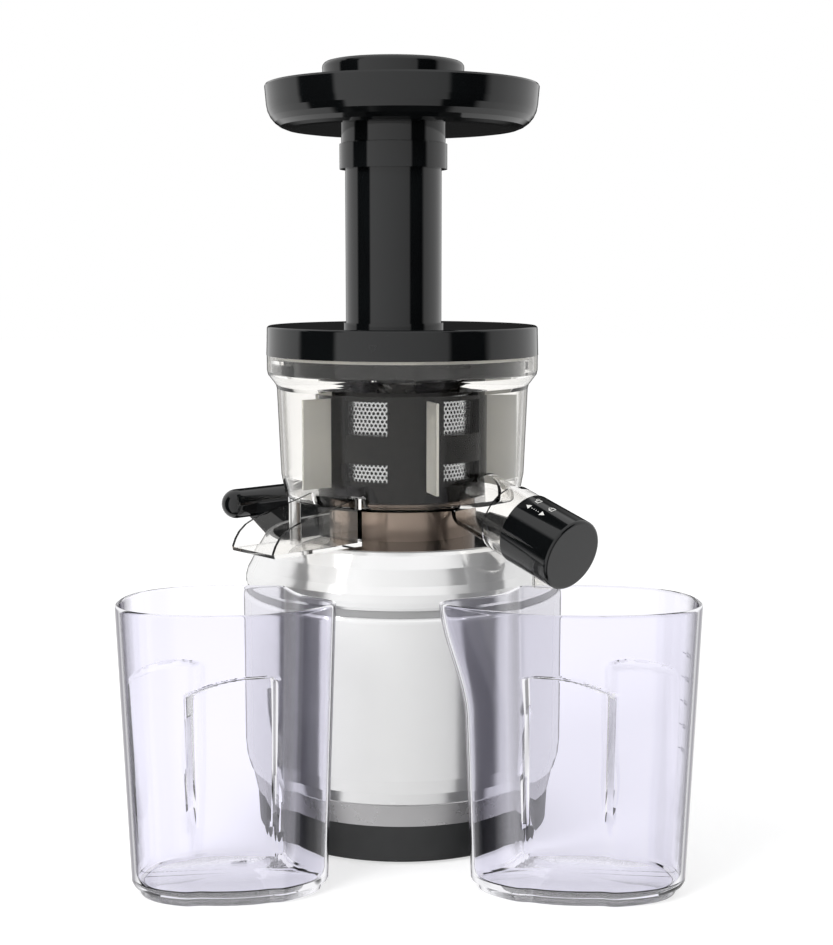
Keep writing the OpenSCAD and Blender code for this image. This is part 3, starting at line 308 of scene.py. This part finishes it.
def pale_silicone():
    material, tree, shader = plastic("pale_silicone", "#d3d2cb", "#dedcd4", (0.4, 0.55),
                                     1.4, 0.03, ior=1.41)
    shader.inputs["Subsurface Weight"].default_value = 0.2
    shader.inputs["Subsurface Radius"].default_value = (0.003, 0.003, 0.0025)
    return material


print("body finishes ready")

# %% [markdown]
# The bowl, spout and trough are clear copolyester, and the jugs are clear styrene with a
# faint lavender tint. Light that runs along a wall crosses more plastic than light that
# goes straight through, so the edges look dark. The layer weight stands for that longer
# way: it darkens the tint where the wall turns away from the eye. Both plastics have an IOR
# of 1.5 or more, but in an all-white studio that much mirroring hides what is behind the
# wall, so they are drawn with less.


# %% Clear plastics
def clear_plastic(name, tint, edge, ior, rough, turns=(0.66, 0.78)):
    material, tree, shader = finish_named(name)
    turned = add(tree, "ShaderNodeLayerWeight", {"Blend": 0.5}).outputs["Facing"]
    # floors and rims lie flat and are thin across, so only upright walls darken
    normal = add(tree, "ShaderNodeNewGeometry").outputs["Normal"]
    up = add(tree, "ShaderNodeSeparateXYZ", {0: normal}).outputs["Z"]
    flat = add(tree, "ShaderNodeMath", {0: up, 1: up}, operation="MULTIPLY")
    upright = add(tree, "ShaderNodeMath", {0: 1.0, 1: flat.outputs[0]}, operation="SUBTRACT")
    long_way = add(tree, "ShaderNodeMath", {0: turned, 1: upright.outputs[0]},
                   operation="MULTIPLY")
    colour = ramp(tree, long_way.outputs[0], [
        (0.0, linear(tint)), (turns[0], linear(tint)), (turns[1], linear(edge))])
    tree.links.new(colour.outputs[0], shader.inputs["Base Color"])
    shader.inputs["Transmission Weight"].default_value = 1.0
    shader.inputs["Roughness"].default_value = rough
    shader.inputs["IOR"].default_value = ior
    relief(tree, shader, grain(tree, 22, 2), 0.02)
    return material


print("clear plastics ready")

# %% [markdown]
# Below the bowl's wall turn darker pieces. The brush cage and the auger are polyetherimide,
# a tough plastic with a natural amber brown, here pigmented dark, and the cage is drawn with
# less shine than it has, so that it stays dark behind the bowl's wall. Gears are acetal, cream
# and waxy. The strainer's mesh and the shafts are stainless steel.


# %% Finishes of the works
def dark_polyetherimide(name, colour, shade, through, shine=0.5):
    material, tree, shader = plastic(name, colour, shade, (0.12, 0.22), 9, 0.02, ior=1.66)
    shader.inputs["Transmission Weight"].default_value = through
    shader.inputs["Specular IOR Level"].default_value = shine
    return material


def cream_acetal():
    return plastic("cream_acetal", "#ddd8c9", "#e8e4d8", (0.3, 0.42), 0.8, 0.01, ior=1.48)[0]


def glass_filled_nylon():
    return plastic("glass_filled_nylon", "#4a4e53", "#565a60", (0.5, 0.65), 0.6, 0.03)[0]


def metal(name, colour, shade, rough, size, stretch, depth):
    """Bare metal whose marks are stretched the way it was turned, drawn or brushed."""
    material, tree, shader = finish_named(name)
    marks = grain(tree, size, 4, stretch)
    tint = ramp(tree, marks, [(0.3, linear(colour)), (0.7, linear(shade))])
    tree.links.new(tint.outputs[0], shader.inputs["Base Color"])
    tree.links.new(between(tree, marks, *rough), shader.inputs["Roughness"])
    shader.inputs["Metallic"].default_value = 1.0
    relief(tree, shader, marks, depth)
    return material


def stacked(name, low, high, pitch, metallic, rough):
    """Layers along the height: the stator's iron sheets or a winding's wires."""
    material, tree, shader = finish_named(name)
    place = add(tree, "ShaderNodeTexCoord").outputs["Object"]
    layers = add(tree, "ShaderNodeTexWave", {
        "Vector": place, "Scale": math.pi / (10 * pitch * MM), "Distortion": 0.4},
        bands_direction="Z").outputs["Fac"]
    tint = ramp(tree, layers, [(0.2, linear(low)), (0.6, linear(high))])
    tree.links.new(tint.outputs[0], shader.inputs["Base Color"])
    shader.inputs["Metallic"].default_value = metallic
    shader.inputs["Roughness"].default_value = rough
    relief(tree, shader, layers, 0.15)
    return material


def circuit_lacquer():
    """Green solder lacquer over copper tracks, which show as paler stripes."""
    material, tree, shader = finish_named("circuit_lacquer")
    place = add(tree, "ShaderNodeTexCoord").outputs["Object"]
    tracks = add(tree, "ShaderNodeTexBrick", {
        "Vector": place, "Scale": 1 / (14 * MM), "Color1": linear("#1b5230"),
        "Color2": linear("#1f5c37"), "Mortar": linear("#2f7a4b"), "Mortar Size": 0.05})
    tree.links.new(tracks.outputs["Color"], shader.inputs["Base Color"])
    tree.links.new(between(tree, grain(tree, 3, 3), 0.25, 0.4), shader.inputs["Roughness"])
    relief(tree, shader, tracks.outputs["Fac"], 0.03)
    return material


print("works finishes ready")

# %% [markdown]
# Now the finishes are laid on the CAD nodes. Their shapes stay as they are. The record
# names a material slot for each node, and this table gives each slot its finish.

# %% Dress the CAD nodes
FINISHES = {
    "white_gloss": pearl_lacquer("pearl_white_lacquer", "#f1f1f1", "#ededed", 0.66,
                                 (0.1, 0.16)),
    "grey_satin": pearl_lacquer("grey_pearl_lacquer", "#c0bfc0", "#b9b8b9", 0.65,
                                (0.24, 0.32)),
    "black_gloss": polished_black_abs(),
    "black_satin": eroded_black_abs(),
    "rubber_black": moulded_rubber(),
    "silicone": pale_silicone(),
    "clear_plastic": clear_plastic("clear_copolyester", "#fefdfb", "#4d4a43", 1.3, 0.01),
    "smoke_plastic": dark_polyetherimide("smoked_polyetherimide", "#0b0a08", "#100e0b", 0.0,
                                         0.06),
    "auger_plastic": dark_polyetherimide("dark_polyetherimide", "#2a2621", "#332e28", 0.0),
    "gear_plastic": cream_acetal(),
    "cast_grey": glass_filled_nylon(),
    "circuit": circuit_lacquer(),
    "steel": metal("turned_steel", "#b4b6b8", "#c8cacc", (0.18, 0.3), 0.6, (1, 1, 6), 0.01),
    "sheet_steel": metal("sheet_steel", "#9a9ea2", "#b0b3b6", (0.28, 0.42), 1.2,
                         (1, 8, 1), 0.01),
    "aluminium": metal("drawn_aluminium", "#bcc0c4", "#cdd0d3", (0.25, 0.36), 0.8,
                       (8, 8, 1), 0.01),
    "iron": stacked("stacked_iron_sheets", "#3e4247", "#7b8086", 1.0, 0.9, 0.45),
    "copper": stacked("enamelled_copper_wire", "#6d3410", "#c17a3c", 0.9, 0.85, 0.3),
}
JUG_STYRENE = clear_plastic("lavender_styrene", "#f7f6fe", "#403d48", 1.45, 0.01,
                            (0.5, 0.7))
# two pieces are tinted on their own: the collar is a smoked bronze, and the groove between the
# housings, silver like the body, is painted mid grey as painted shade of that gap
OWN_FINISH = {
    "dock_collar": pearl_lacquer("bronze_lacquer", "#a8978a", "#a08f82", 0.7, (0.14, 0.2)),
    # painted shade: the groove's mid grey stands in for the shadow inside the gap
    "groove_ring": pearl_lacquer("groove_painted_shade_grey", "#a9a9a9", "#a2a2a2", 0.3, (0.3, 0.4)),
}


SLOTS = {part["node"]: part["material_slot"] for part in frame["record"]["subparts"]}


def dress(piece, material):
    piece.data.materials.clear()
    piece.data.materials.append(material)
    for face in piece.data.polygons:
        face.material_index = 0


for name, solid in nodes.items():
    dress(solid, OWN_FINISH.get(name) or FINISHES[SLOTS[name]])
print("dressed", len(nodes), "nodes in", len(FINISHES), "finishes")

# %% [markdown]
# The jugs are the most shaped pieces: a kidney-like ring, a dent for the machine's body, and
# finger grips pressed into the wall. Their rings follow the same closed spline as the CAD
# solid, but with many more points and steeper sides to the grips, because a clear wall is
# read from its creases. One function gives a point of the ring at any height, for the
# outer and the inner wall alike.

# %% Values of the jugs, in millimetres
JUG_H, FOOT_LIFT, JUG_FLOOR, JUG_WALL = 145, 4.5, 2.4, 2.0
JUG_DEPTH, JUG_FRONT = 73, 106.5
DRAFT_LEN, DRAFT_DEPTH, FOOT_SHARE = 0.905, 0.86, 0.93
GRIP_DEEP, GRIP_FADE, LIP_LOW = 8, 60, 88
FRONT_HALF, BACK_HALF, BACK_PLACE = 20, 15.5, 35.5
FRONT_TOP, BACK_TOP, ARCH = 114, 108, 2  # tops of the grips, and how much they arch
FRONT_TILT, FRONT_ARCH = 3.75, 3.25
CRISP_SIDE, SOFTER, BACK_SIDE = 2.2, 6, 7  # widths of the slopes beside a grip
JUG_SIDES = 220


def smooth(t):
    u = min(1, max(0, t))
    return u * u * (3 - 2 * u)


def rim_net(lip):
    """Control points of the ring, as shares of half its length and half its depth."""
    return [(-1.05 - lip, 0.13), (-0.86 - 0.5 * lip, -0.12), (-0.66, -0.32), (-0.54, -0.7),
            (-0.48, -0.94), (-0.44, -0.99), (-0.36, -1.0), (0.0, -1.04), (0.5, -0.99),
            (0.93, -0.62), (1.03, 0.0), (1.0, 0.55), (0.68, 0.94), (0.1, 1.06),
            (-0.46, 0.95), (-0.86 - 0.45 * lip, 0.55)]


def on_spline(net, t):
    """Point of the closed cubic B-spline through the net at share t of its length."""
    n = len(net)
    i, u = int(t * n), t * n - int(t * n)
    weights = ((1 - u) ** 3, 3 * u ** 3 - 6 * u * u + 4,
               -3 * u ** 3 + 3 * u * u + 3 * u + 1, u ** 3)
    around = [net[(i + k) % n] for k in (-1, 0, 1, 2)]
    return [sum(w * p[axis] for w, p in zip(weights, around)) / 6 for axis in (0, 1)]


def grip_dent(x, y, z, front_place):
    """How deep the finger grips are pressed in at a point of the wall."""
    place, half = (front_place, FRONT_HALF) if y > 0 else (BACK_PLACE, BACK_HALF)
    u = (x - place) / half
    front_top = FRONT_TOP - FRONT_TILT * u - FRONT_ARCH * u * u
    top = front_top if y > 0 else BACK_TOP - ARCH * u * u
    # the front grips have crisp sides that soften towards the foot, the back ones are soft
    side = CRISP_SIDE + SOFTER * smooth((80 - z) / 80) if y > 0 else BACK_SIDE
    across = smooth((1 - abs(u)) * half / side + 0.5)
    down = smooth((top - z) / 3) * (0.25 + 0.75 * smooth((z - 12) / GRIP_FADE))
    return GRIP_DEEP * across * down


def jug_ring(z, inset, jug, lip=True, share=1.0):
    """Points of a jug's wall at height z, inset from the outside."""
    side, length, front_place = jug["side"], jug["length"], jug["grip"]
    lip_out = jug["lip"] if lip else 0
    k = (z - FOOT_LIFT) / (JUG_H - FOOT_LIFT)
    lip = lip_out * smooth((z - LIP_LOW) / (JUG_H - LIP_LOW)) * 2 / length
    half_x = length / 2 * (DRAFT_LEN + (1 - DRAFT_LEN) * k) * share - inset
    half_y = JUG_DEPTH / 2 * (DRAFT_DEPTH + (1 - DRAFT_DEPTH) * k) * share - inset
    ring = []
    for i in range(JUG_SIDES):
        x, y = on_spline(rim_net(lip), i / JUG_SIDES)
        x, y = x * half_x, y * half_y
        y -= math.copysign(grip_dent(x, y, z, front_place), y)
        ring.append((side * x, -y, z))
    return ring


PULP_JUG = {"side": -1, "place": 84, "length": 107, "lip": 0, "grip": -4}
JUICE_JUG = {"side": 1, "place": 87, "length": 117, "lip": 13, "grip": -7}
print("lip tip of the juice jug", [round(c) for c in jug_ring(JUG_H, 0, JUICE_JUG)[0]])

# %% [markdown]
# A jug's mesh is one loft that runs up the outside, over a rounded rim and down the inside,
# with a foot ring under the floor. Its rings crowd where the grips begin, where the shape
# changes fastest. Both ends close with a fan, so the wall is one closed solid, which clear
# plastic needs to bend light rightly.


# %% The two jugs
def jug_rings(jug):
    heights = [FOOT_LIFT + 2 * k for k in range(49)]
    heights += [101.5 + 0.75 * k for k in range(1, 20)] + [117 + 2 * k for k in range(14)]
    foot = [(0.0, FOOT_SHARE - 0.02), (0.4, FOOT_SHARE - 0.01), (2.5, FOOT_SHARE),
            (FOOT_LIFT - 0.3, FOOT_SHARE + 0.005)]
    rings = [jug_ring(z, 0.0, jug, False, share) for z, share in foot]
    rings.append(jug_ring(FOOT_LIFT, 1.0, jug))
    rings += [jug_ring(z, 0.0, jug) for z in heights[1:]]
    half = JUG_WALL / 2
    for k in range(7):  # the rounded rim
        turn = math.pi * k / 6
        ring = jug_ring(JUG_H - half, half - half * math.cos(turn), jug)
        rings.append([(x, y, z + half * math.sin(turn)) for x, y, z in ring])
    floor = FOOT_LIFT + JUG_FLOOR
    rings += [jug_ring(z, JUG_WALL, jug) for z in reversed(heights) if z > floor + 3]
    rings.append(jug_ring(floor + 1, JUG_WALL + 0.6, jug))
    rings.append(jug_ring(floor, JUG_WALL + 2.5, jug))
    return rings


def stand(jug, points):
    """Points of a jug moved from its own middle to its place in front of the machine."""
    turn = Matrix.Rotation(math.radians(-VIEW_TURN), 3, "Z")
    return [turn @ Vector((x + jug["side"] * jug["place"], y - JUG_FRONT, z))
            for x, y, z in points]


def loft(name, rings, material):
    """A closed mesh through rings of equal length, with a fan at each end, in metres."""
    bm = bmesh.new()
    rows = [[bm.verts.new([c * MM for c in p]) for p in ring] for ring in rings]
    for low, high in zip(rows, rows[1:]):
        for i in range(len(low)):
            j = (i + 1) % len(low)
            bm.faces.new((low[i], low[j], high[j], high[i]))
    for row in (rows[0], rows[-1]):
        middle = sum((v.co for v in row), Vector()) / len(row)
        hub = bm.verts.new(middle)
        for i in range(len(row)):
            bm.faces.new((row[i], row[(i + 1) % len(row)], hub))
    bmesh.ops.recalc_face_normals(bm, faces=bm.faces)
    return piece_from(name, bm, material)


def piece_from(name, bm, material, flat_above=40):
    """A linked object from a bmesh, smooth but for edges sharper than an angle."""
    for edge in bm.edges:
        edge.smooth = edge.calc_face_angle(0) < math.radians(flat_above)
    for face in bm.faces:
        face.smooth = True
    mesh = bpy.data.meshes.new(name)
    bm.to_mesh(mesh)
    bm.free()
    piece = bpy.data.objects.new(name, mesh)
    bpy.context.scene.collection.objects.link(piece)
    mesh.materials.append(material)
    return piece


def clear_jug(name, node, jug):
    wall = loft(name, [stand(jug, ring) for ring in jug_rings(jug)], JUG_STYRENE)
    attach(wall, node)
    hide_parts(node)
    wall.visible_glossy = False  # else the polished body mirrors the jugs before it
    print(name, "has", len(wall.data.polygons), "faces")


clear_jug("pulp_jug_wall", "pulp_jug", PULP_JUG)
clear_jug("juice_jug_wall", "juice_jug", JUICE_JUG)

# %% [markdown]
# The strainer's wall is a sheet of steel with some 2,400 holes. One hexagonal tile with a
# hole in it is made first, and Geometry Nodes sets it in rows round the sheet, each row
# turned by half a tile against the one below. The CAD solid of the sheet is a plain tube,
# so this piece stands for it.


# %% The perforated strainer
HOLE_PITCH, SHEET_THICK = 2.4, 0.5  # millimetres
HOLE_SHARE = 0.66  # of a tile's width


def hexagon_tile(name, width, thick, share):
    """A hexagonal ring in the YZ plane, its outside facing +X, in metres."""
    bm = bmesh.new()
    loops = []
    for x, size in ((0, 1), (0, share), (-thick, share), (-thick, 1)):
        corner = size * width / math.sqrt(3)
        loops.append([bm.verts.new((x, corner * math.sin(math.radians(60 * k)),
                                    corner * math.cos(math.radians(60 * k))))
                      for k in range(6)])
    for a, b in zip(loops, loops[1:] + loops[:1]):
        for k in range(6):
            j = (k + 1) % 6
            bm.faces.new((a[k], a[j], b[j], b[k]))
    bmesh.ops.recalc_face_normals(bm, faces=bm.faces)
    return piece_from(name, bm, FINISHES["steel"])


def rows_round_a_tube():
    """Geometry Nodes that set the incoming tile in rows round the Z axis."""
    tree = bpy.data.node_groups.new("rows_round_a_tube", "GeometryNodeTree")
    for name, kind in (("Tile", "Geometry"), ("Columns", "Int"), ("Rows", "Int"),
                       ("Radius", "Float"), ("First height", "Float"),
                       ("Row pitch", "Float"), ("Finish", "Material")):
        tree.interface.new_socket(name, in_out="INPUT", socket_type="NodeSocket" + kind)
    tree.interface.new_socket("Sheet", in_out="OUTPUT", socket_type="NodeSocketGeometry")
    given = add(tree, "NodeGroupInput").outputs

    def maths(operation, *values):
        sockets = dict(enumerate(values))
        return add(tree, "ShaderNodeMath", sockets, operation=operation).outputs[0]

    count = maths("MULTIPLY", given["Columns"], given["Rows"])
    line = add(tree, "GeometryNodeMeshLine", {"Count": count})
    index = add(tree, "GeometryNodeInputIndex").outputs[0]
    row = maths("FLOOR", maths("DIVIDE", maths("ADD", index, 0.5), given["Columns"]))
    column = maths("SUBTRACT", index, maths("MULTIPLY", row, given["Columns"]))
    half = maths("MULTIPLY", maths("MODULO", row, 2.0), 0.5)
    angle = maths("MULTIPLY", maths("ADD", column, half),
                  maths("DIVIDE", math.tau, given["Columns"]))
    height = maths("MULTIPLY_ADD", row, given["Row pitch"], given["First height"])
    place = add(tree, "ShaderNodeCombineXYZ", {
        "X": maths("MULTIPLY", given["Radius"], maths("COSINE", angle)),
        "Y": maths("MULTIPLY", given["Radius"], maths("SINE", angle)), "Z": height})
    points = add(tree, "GeometryNodeSetPosition", {
        "Geometry": line.outputs[0], "Position": place.outputs[0]})
    turn = add(tree, "ShaderNodeCombineXYZ", {"Z": angle})
    tiles = add(tree, "GeometryNodeInstanceOnPoints", {
        "Points": points.outputs[0], "Instance": given["Tile"], "Rotation": turn.outputs[0]})
    real = add(tree, "GeometryNodeRealizeInstances", {"Geometry": tiles.outputs[0]})
    dressed = add(tree, "GeometryNodeSetMaterial", {
        "Geometry": real.outputs[0], "Material": given["Finish"]})
    add(tree, "NodeGroupOutput", {"Sheet": dressed.outputs[0]})
    return tree


def perforated_strainer():
    low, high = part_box("strainer_mesh")
    radius, tall = high[0], high[2] - low[2]
    columns = round(math.tau * radius / (HOLE_PITCH * MM))
    width = math.tau * radius / columns
    pitch, corner = width * math.sqrt(3) / 2, width / math.sqrt(3)
    rows = int((tall - 2 * corner) / pitch) + 1
    sheet = hexagon_tile("perforated_strainer", width, SHEET_THICK * MM, HOLE_SHARE)
    tree = rows_round_a_tube()
    values = {"Columns": columns, "Rows": rows, "Radius": radius,
              "First height": low[2] + corner, "Row pitch": (tall - 2 * corner) / (rows - 1),
              "Finish": FINISHES["steel"]}
    maker = sheet.modifiers.new("rows", "NODES")
    maker.node_group = tree
    for item in tree.interface.items_tree:
        if item.name in values:
            maker[item.identifier] = values[item.name]
    ready = bpy.context.evaluated_depsgraph_get()
    plain = bpy.data.meshes.new_from_object(sheet.evaluated_get(ready))
    sheet.modifiers.remove(maker)
    sheet.data = plain
    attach(sheet, "bowl_set")
    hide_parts("strainer_mesh")
    print(columns, "tiles in each of", rows, "rows,", len(plain.polygons), "faces")


perforated_strainer()

# %% [markdown]
# The cap on the spout carries small white marks: an arrow and an open padlock, and an
# arrow and a shut padlock for the way it closes. They are printed, so they are thin plates
# that lie on the cap. The lid has one moulded triangle over the catch that it locks to, and
# the bigger jug has a scale with dashes and numbers. `mark` makes them all: it lays flat
# outlines on any wall, which a function describes in millimetres: across, up and away.


# %% Marks on the cap and the scale
def mark(name, outlines, wall, body, material, high=0.12):
    """Thin raised plates: each outline is convex, and wall(u, v, lift) gives its points."""
    bm = bmesh.new()
    for outline in outlines:
        low, top = ([bm.verts.new([c * MM for c in wall(u, v, lift)]) for u, v in outline]
                    for lift in (-0.1, high))
        bm.faces.new(top)
        bm.faces.new(low[::-1])
        for i in range(len(low)):
            j = (i + 1) % len(low)
            bm.faces.new((low[i], low[j], top[j], top[i]))
    bmesh.ops.recalc_face_normals(bm, faces=bm.faces)
    piece = piece_from(name, bm, material, 20)
    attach(piece, body)
    return piece


def arrow(u, v, up):
    return [(u - 1.5, v - 1.2 * up), (u + 1.5, v - 1.2 * up), (u, v + 1.5 * up)]


def bar(u0, v0, u1, v1):
    return [(u0, v0), (u1, v0), (u1, v1), (u0, v1)]


def padlock(u, v, open_by):
    """The frame of a padlock's case and its shackle, which leans out when it is open."""
    case = [bar(u - 1.7, v - 1.5, u + 1.7, v - 1.1), bar(u - 1.7, v + 0.3, u + 1.7, v + 0.7),
            bar(u - 1.7, v - 1.1, u - 1.3, v + 0.3), bar(u + 1.3, v - 1.1, u + 1.7, v + 0.3)]
    shackle = []
    for k in range(8):
        ends = [math.radians(22.5 * n) for n in (k, k + 1)]
        shackle.append([(u + open_by + size * math.cos(a), v + 0.7 + size * math.sin(a))
                        for size, order in ((1.15, 1), (0.8, -1)) for a in ends[::order]])
    return case + shackle


CAP_R, SPOUT_SLOPE = 18.64, math.radians(16.9)
SPOUT_TOP = 203  # height at which the spout's line crosses the machine's axis
MARKS_AT, MARKS_TURN = 110, math.radians(120)  # along the spout, and round the cap


def cap_wall(u, v, lift):
    """A point of the cap's side: u round it from the first arrow, v towards the bowl."""
    s, a = MARKS_AT - v, MARKS_TURN - u / CAP_R
    across = (CAP_R + lift) * math.cos(a)
    up = (CAP_R + lift) * math.sin(a)
    return (across, -s * math.cos(SPOUT_SLOPE) - up * math.sin(SPOUT_SLOPE),
            SPOUT_TOP - s * math.sin(SPOUT_SLOPE) + up * math.cos(SPOUT_SLOPE))


PRINT_WHITE = plastic("print_white", "#d9d9d6", "#e2e2df", (0.4, 0.5), 1.2, 0.002)[0]
CAP_MARKS = [arrow(0, 5, 1), arrow(0, -5, -1)] + padlock(6.4, 4.6, 0.9) + padlock(6, -5.6, 0)
CAP_MARKS += [bar(-0.2, v, 0.2, v + 0.5) for v in (-2.4, -0.9, 0.6, 2.1)]
mark("cap_marks", CAP_MARKS, cap_wall, "spout_cap", PRINT_WHITE)

LID_R, LID_MARK_TURN = 73.6, math.radians(217)
LID_MARK_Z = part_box("lid")[0][2] / MM + 15.5  # the lid's skirt hangs 9 mm into the bowl


def lid_wall(u, v, lift):
    """A point of the lid's side: u round it from the mark's middle, v up it."""
    a = LID_MARK_TURN + u / LID_R
    return ((LID_R + lift) * math.cos(a), (LID_R + lift) * math.sin(a), LID_MARK_Z + v)


LID_MARK = [bar(-2, 1.4, 2, 1.8)]
LID_MARK += [[(-2 * side, 1.4), (-1.5 * side, 1.4), (0.25 * side, -1.8), (-0.25 * side, -1.8)]
             for side in (1, -1)]
mark("lid_mark", LID_MARK, lid_wall, "lid_set", FINISHES["black_satin"])


# strokes of a digit: top, upper left, upper right, middle, lower left, lower right, bottom
STROKES = [bar(0, 1.9, 1.2, 2.1), bar(0, 1.1, 0.2, 1.9), bar(1.0, 1.1, 1.2, 1.9),
           bar(0, 0.9, 1.2, 1.1), bar(0, 0.1, 0.2, 0.9), bar(1.0, 0.1, 1.2, 0.9),
           bar(0, -0.1, 1.2, 0.1)]
DIGITS = {"0": "1110111", "1": "0010010", "2": "1011101", "4": "0111010", "6": "1101111",
          "8": "1111111"}
SCALE_AT = 0.6  # share of the ring's length at which the scale runs up the jug
RING_STEP = 1.41  # millimetres between two points of the ring there
DASH, DIGIT_PITCH = 3.5, 1.8  # millimetres
SCALE = {"1000": 116, "800": 104, "600": 92, "400": 80, "200": 68}


def jug_wall(u, v, lift):
    """A point of the juice jug's outside: u round it, v its height."""
    ring = jug_ring(v, -lift, JUICE_JUG)
    i = SCALE_AT * JUG_SIDES - u / RING_STEP
    a, b = Vector(ring[int(i)]), Vector(ring[int(i) + 1])
    return stand(JUICE_JUG, [a.lerp(b, i - int(i))])[0]


def scale_lines():
    lines = []
    for number, height in SCALE.items():
        lines.append(bar(0, height - 0.15, DASH, height + 0.15))
        for place, digit in enumerate(reversed(number)):
            left = -2.2 - DIGIT_PITCH * place
            lines += [[(u + left, v + height - 1) for u, v in stroke]
                      for stroke, drawn in zip(STROKES, DIGITS[digit]) if drawn == "1"]
    return lines


SCALE_GREY = plastic("scale_print", "#b9b6c4", "#c1becc", (0.4, 0.5), 1.2, 0.002)[0]
mark("jug_scale", scale_lines(), jug_wall, "juice_jug", SCALE_GREY)
print("marks on the cap:", len(CAP_MARKS), "and on the scale:", len(scale_lines()))
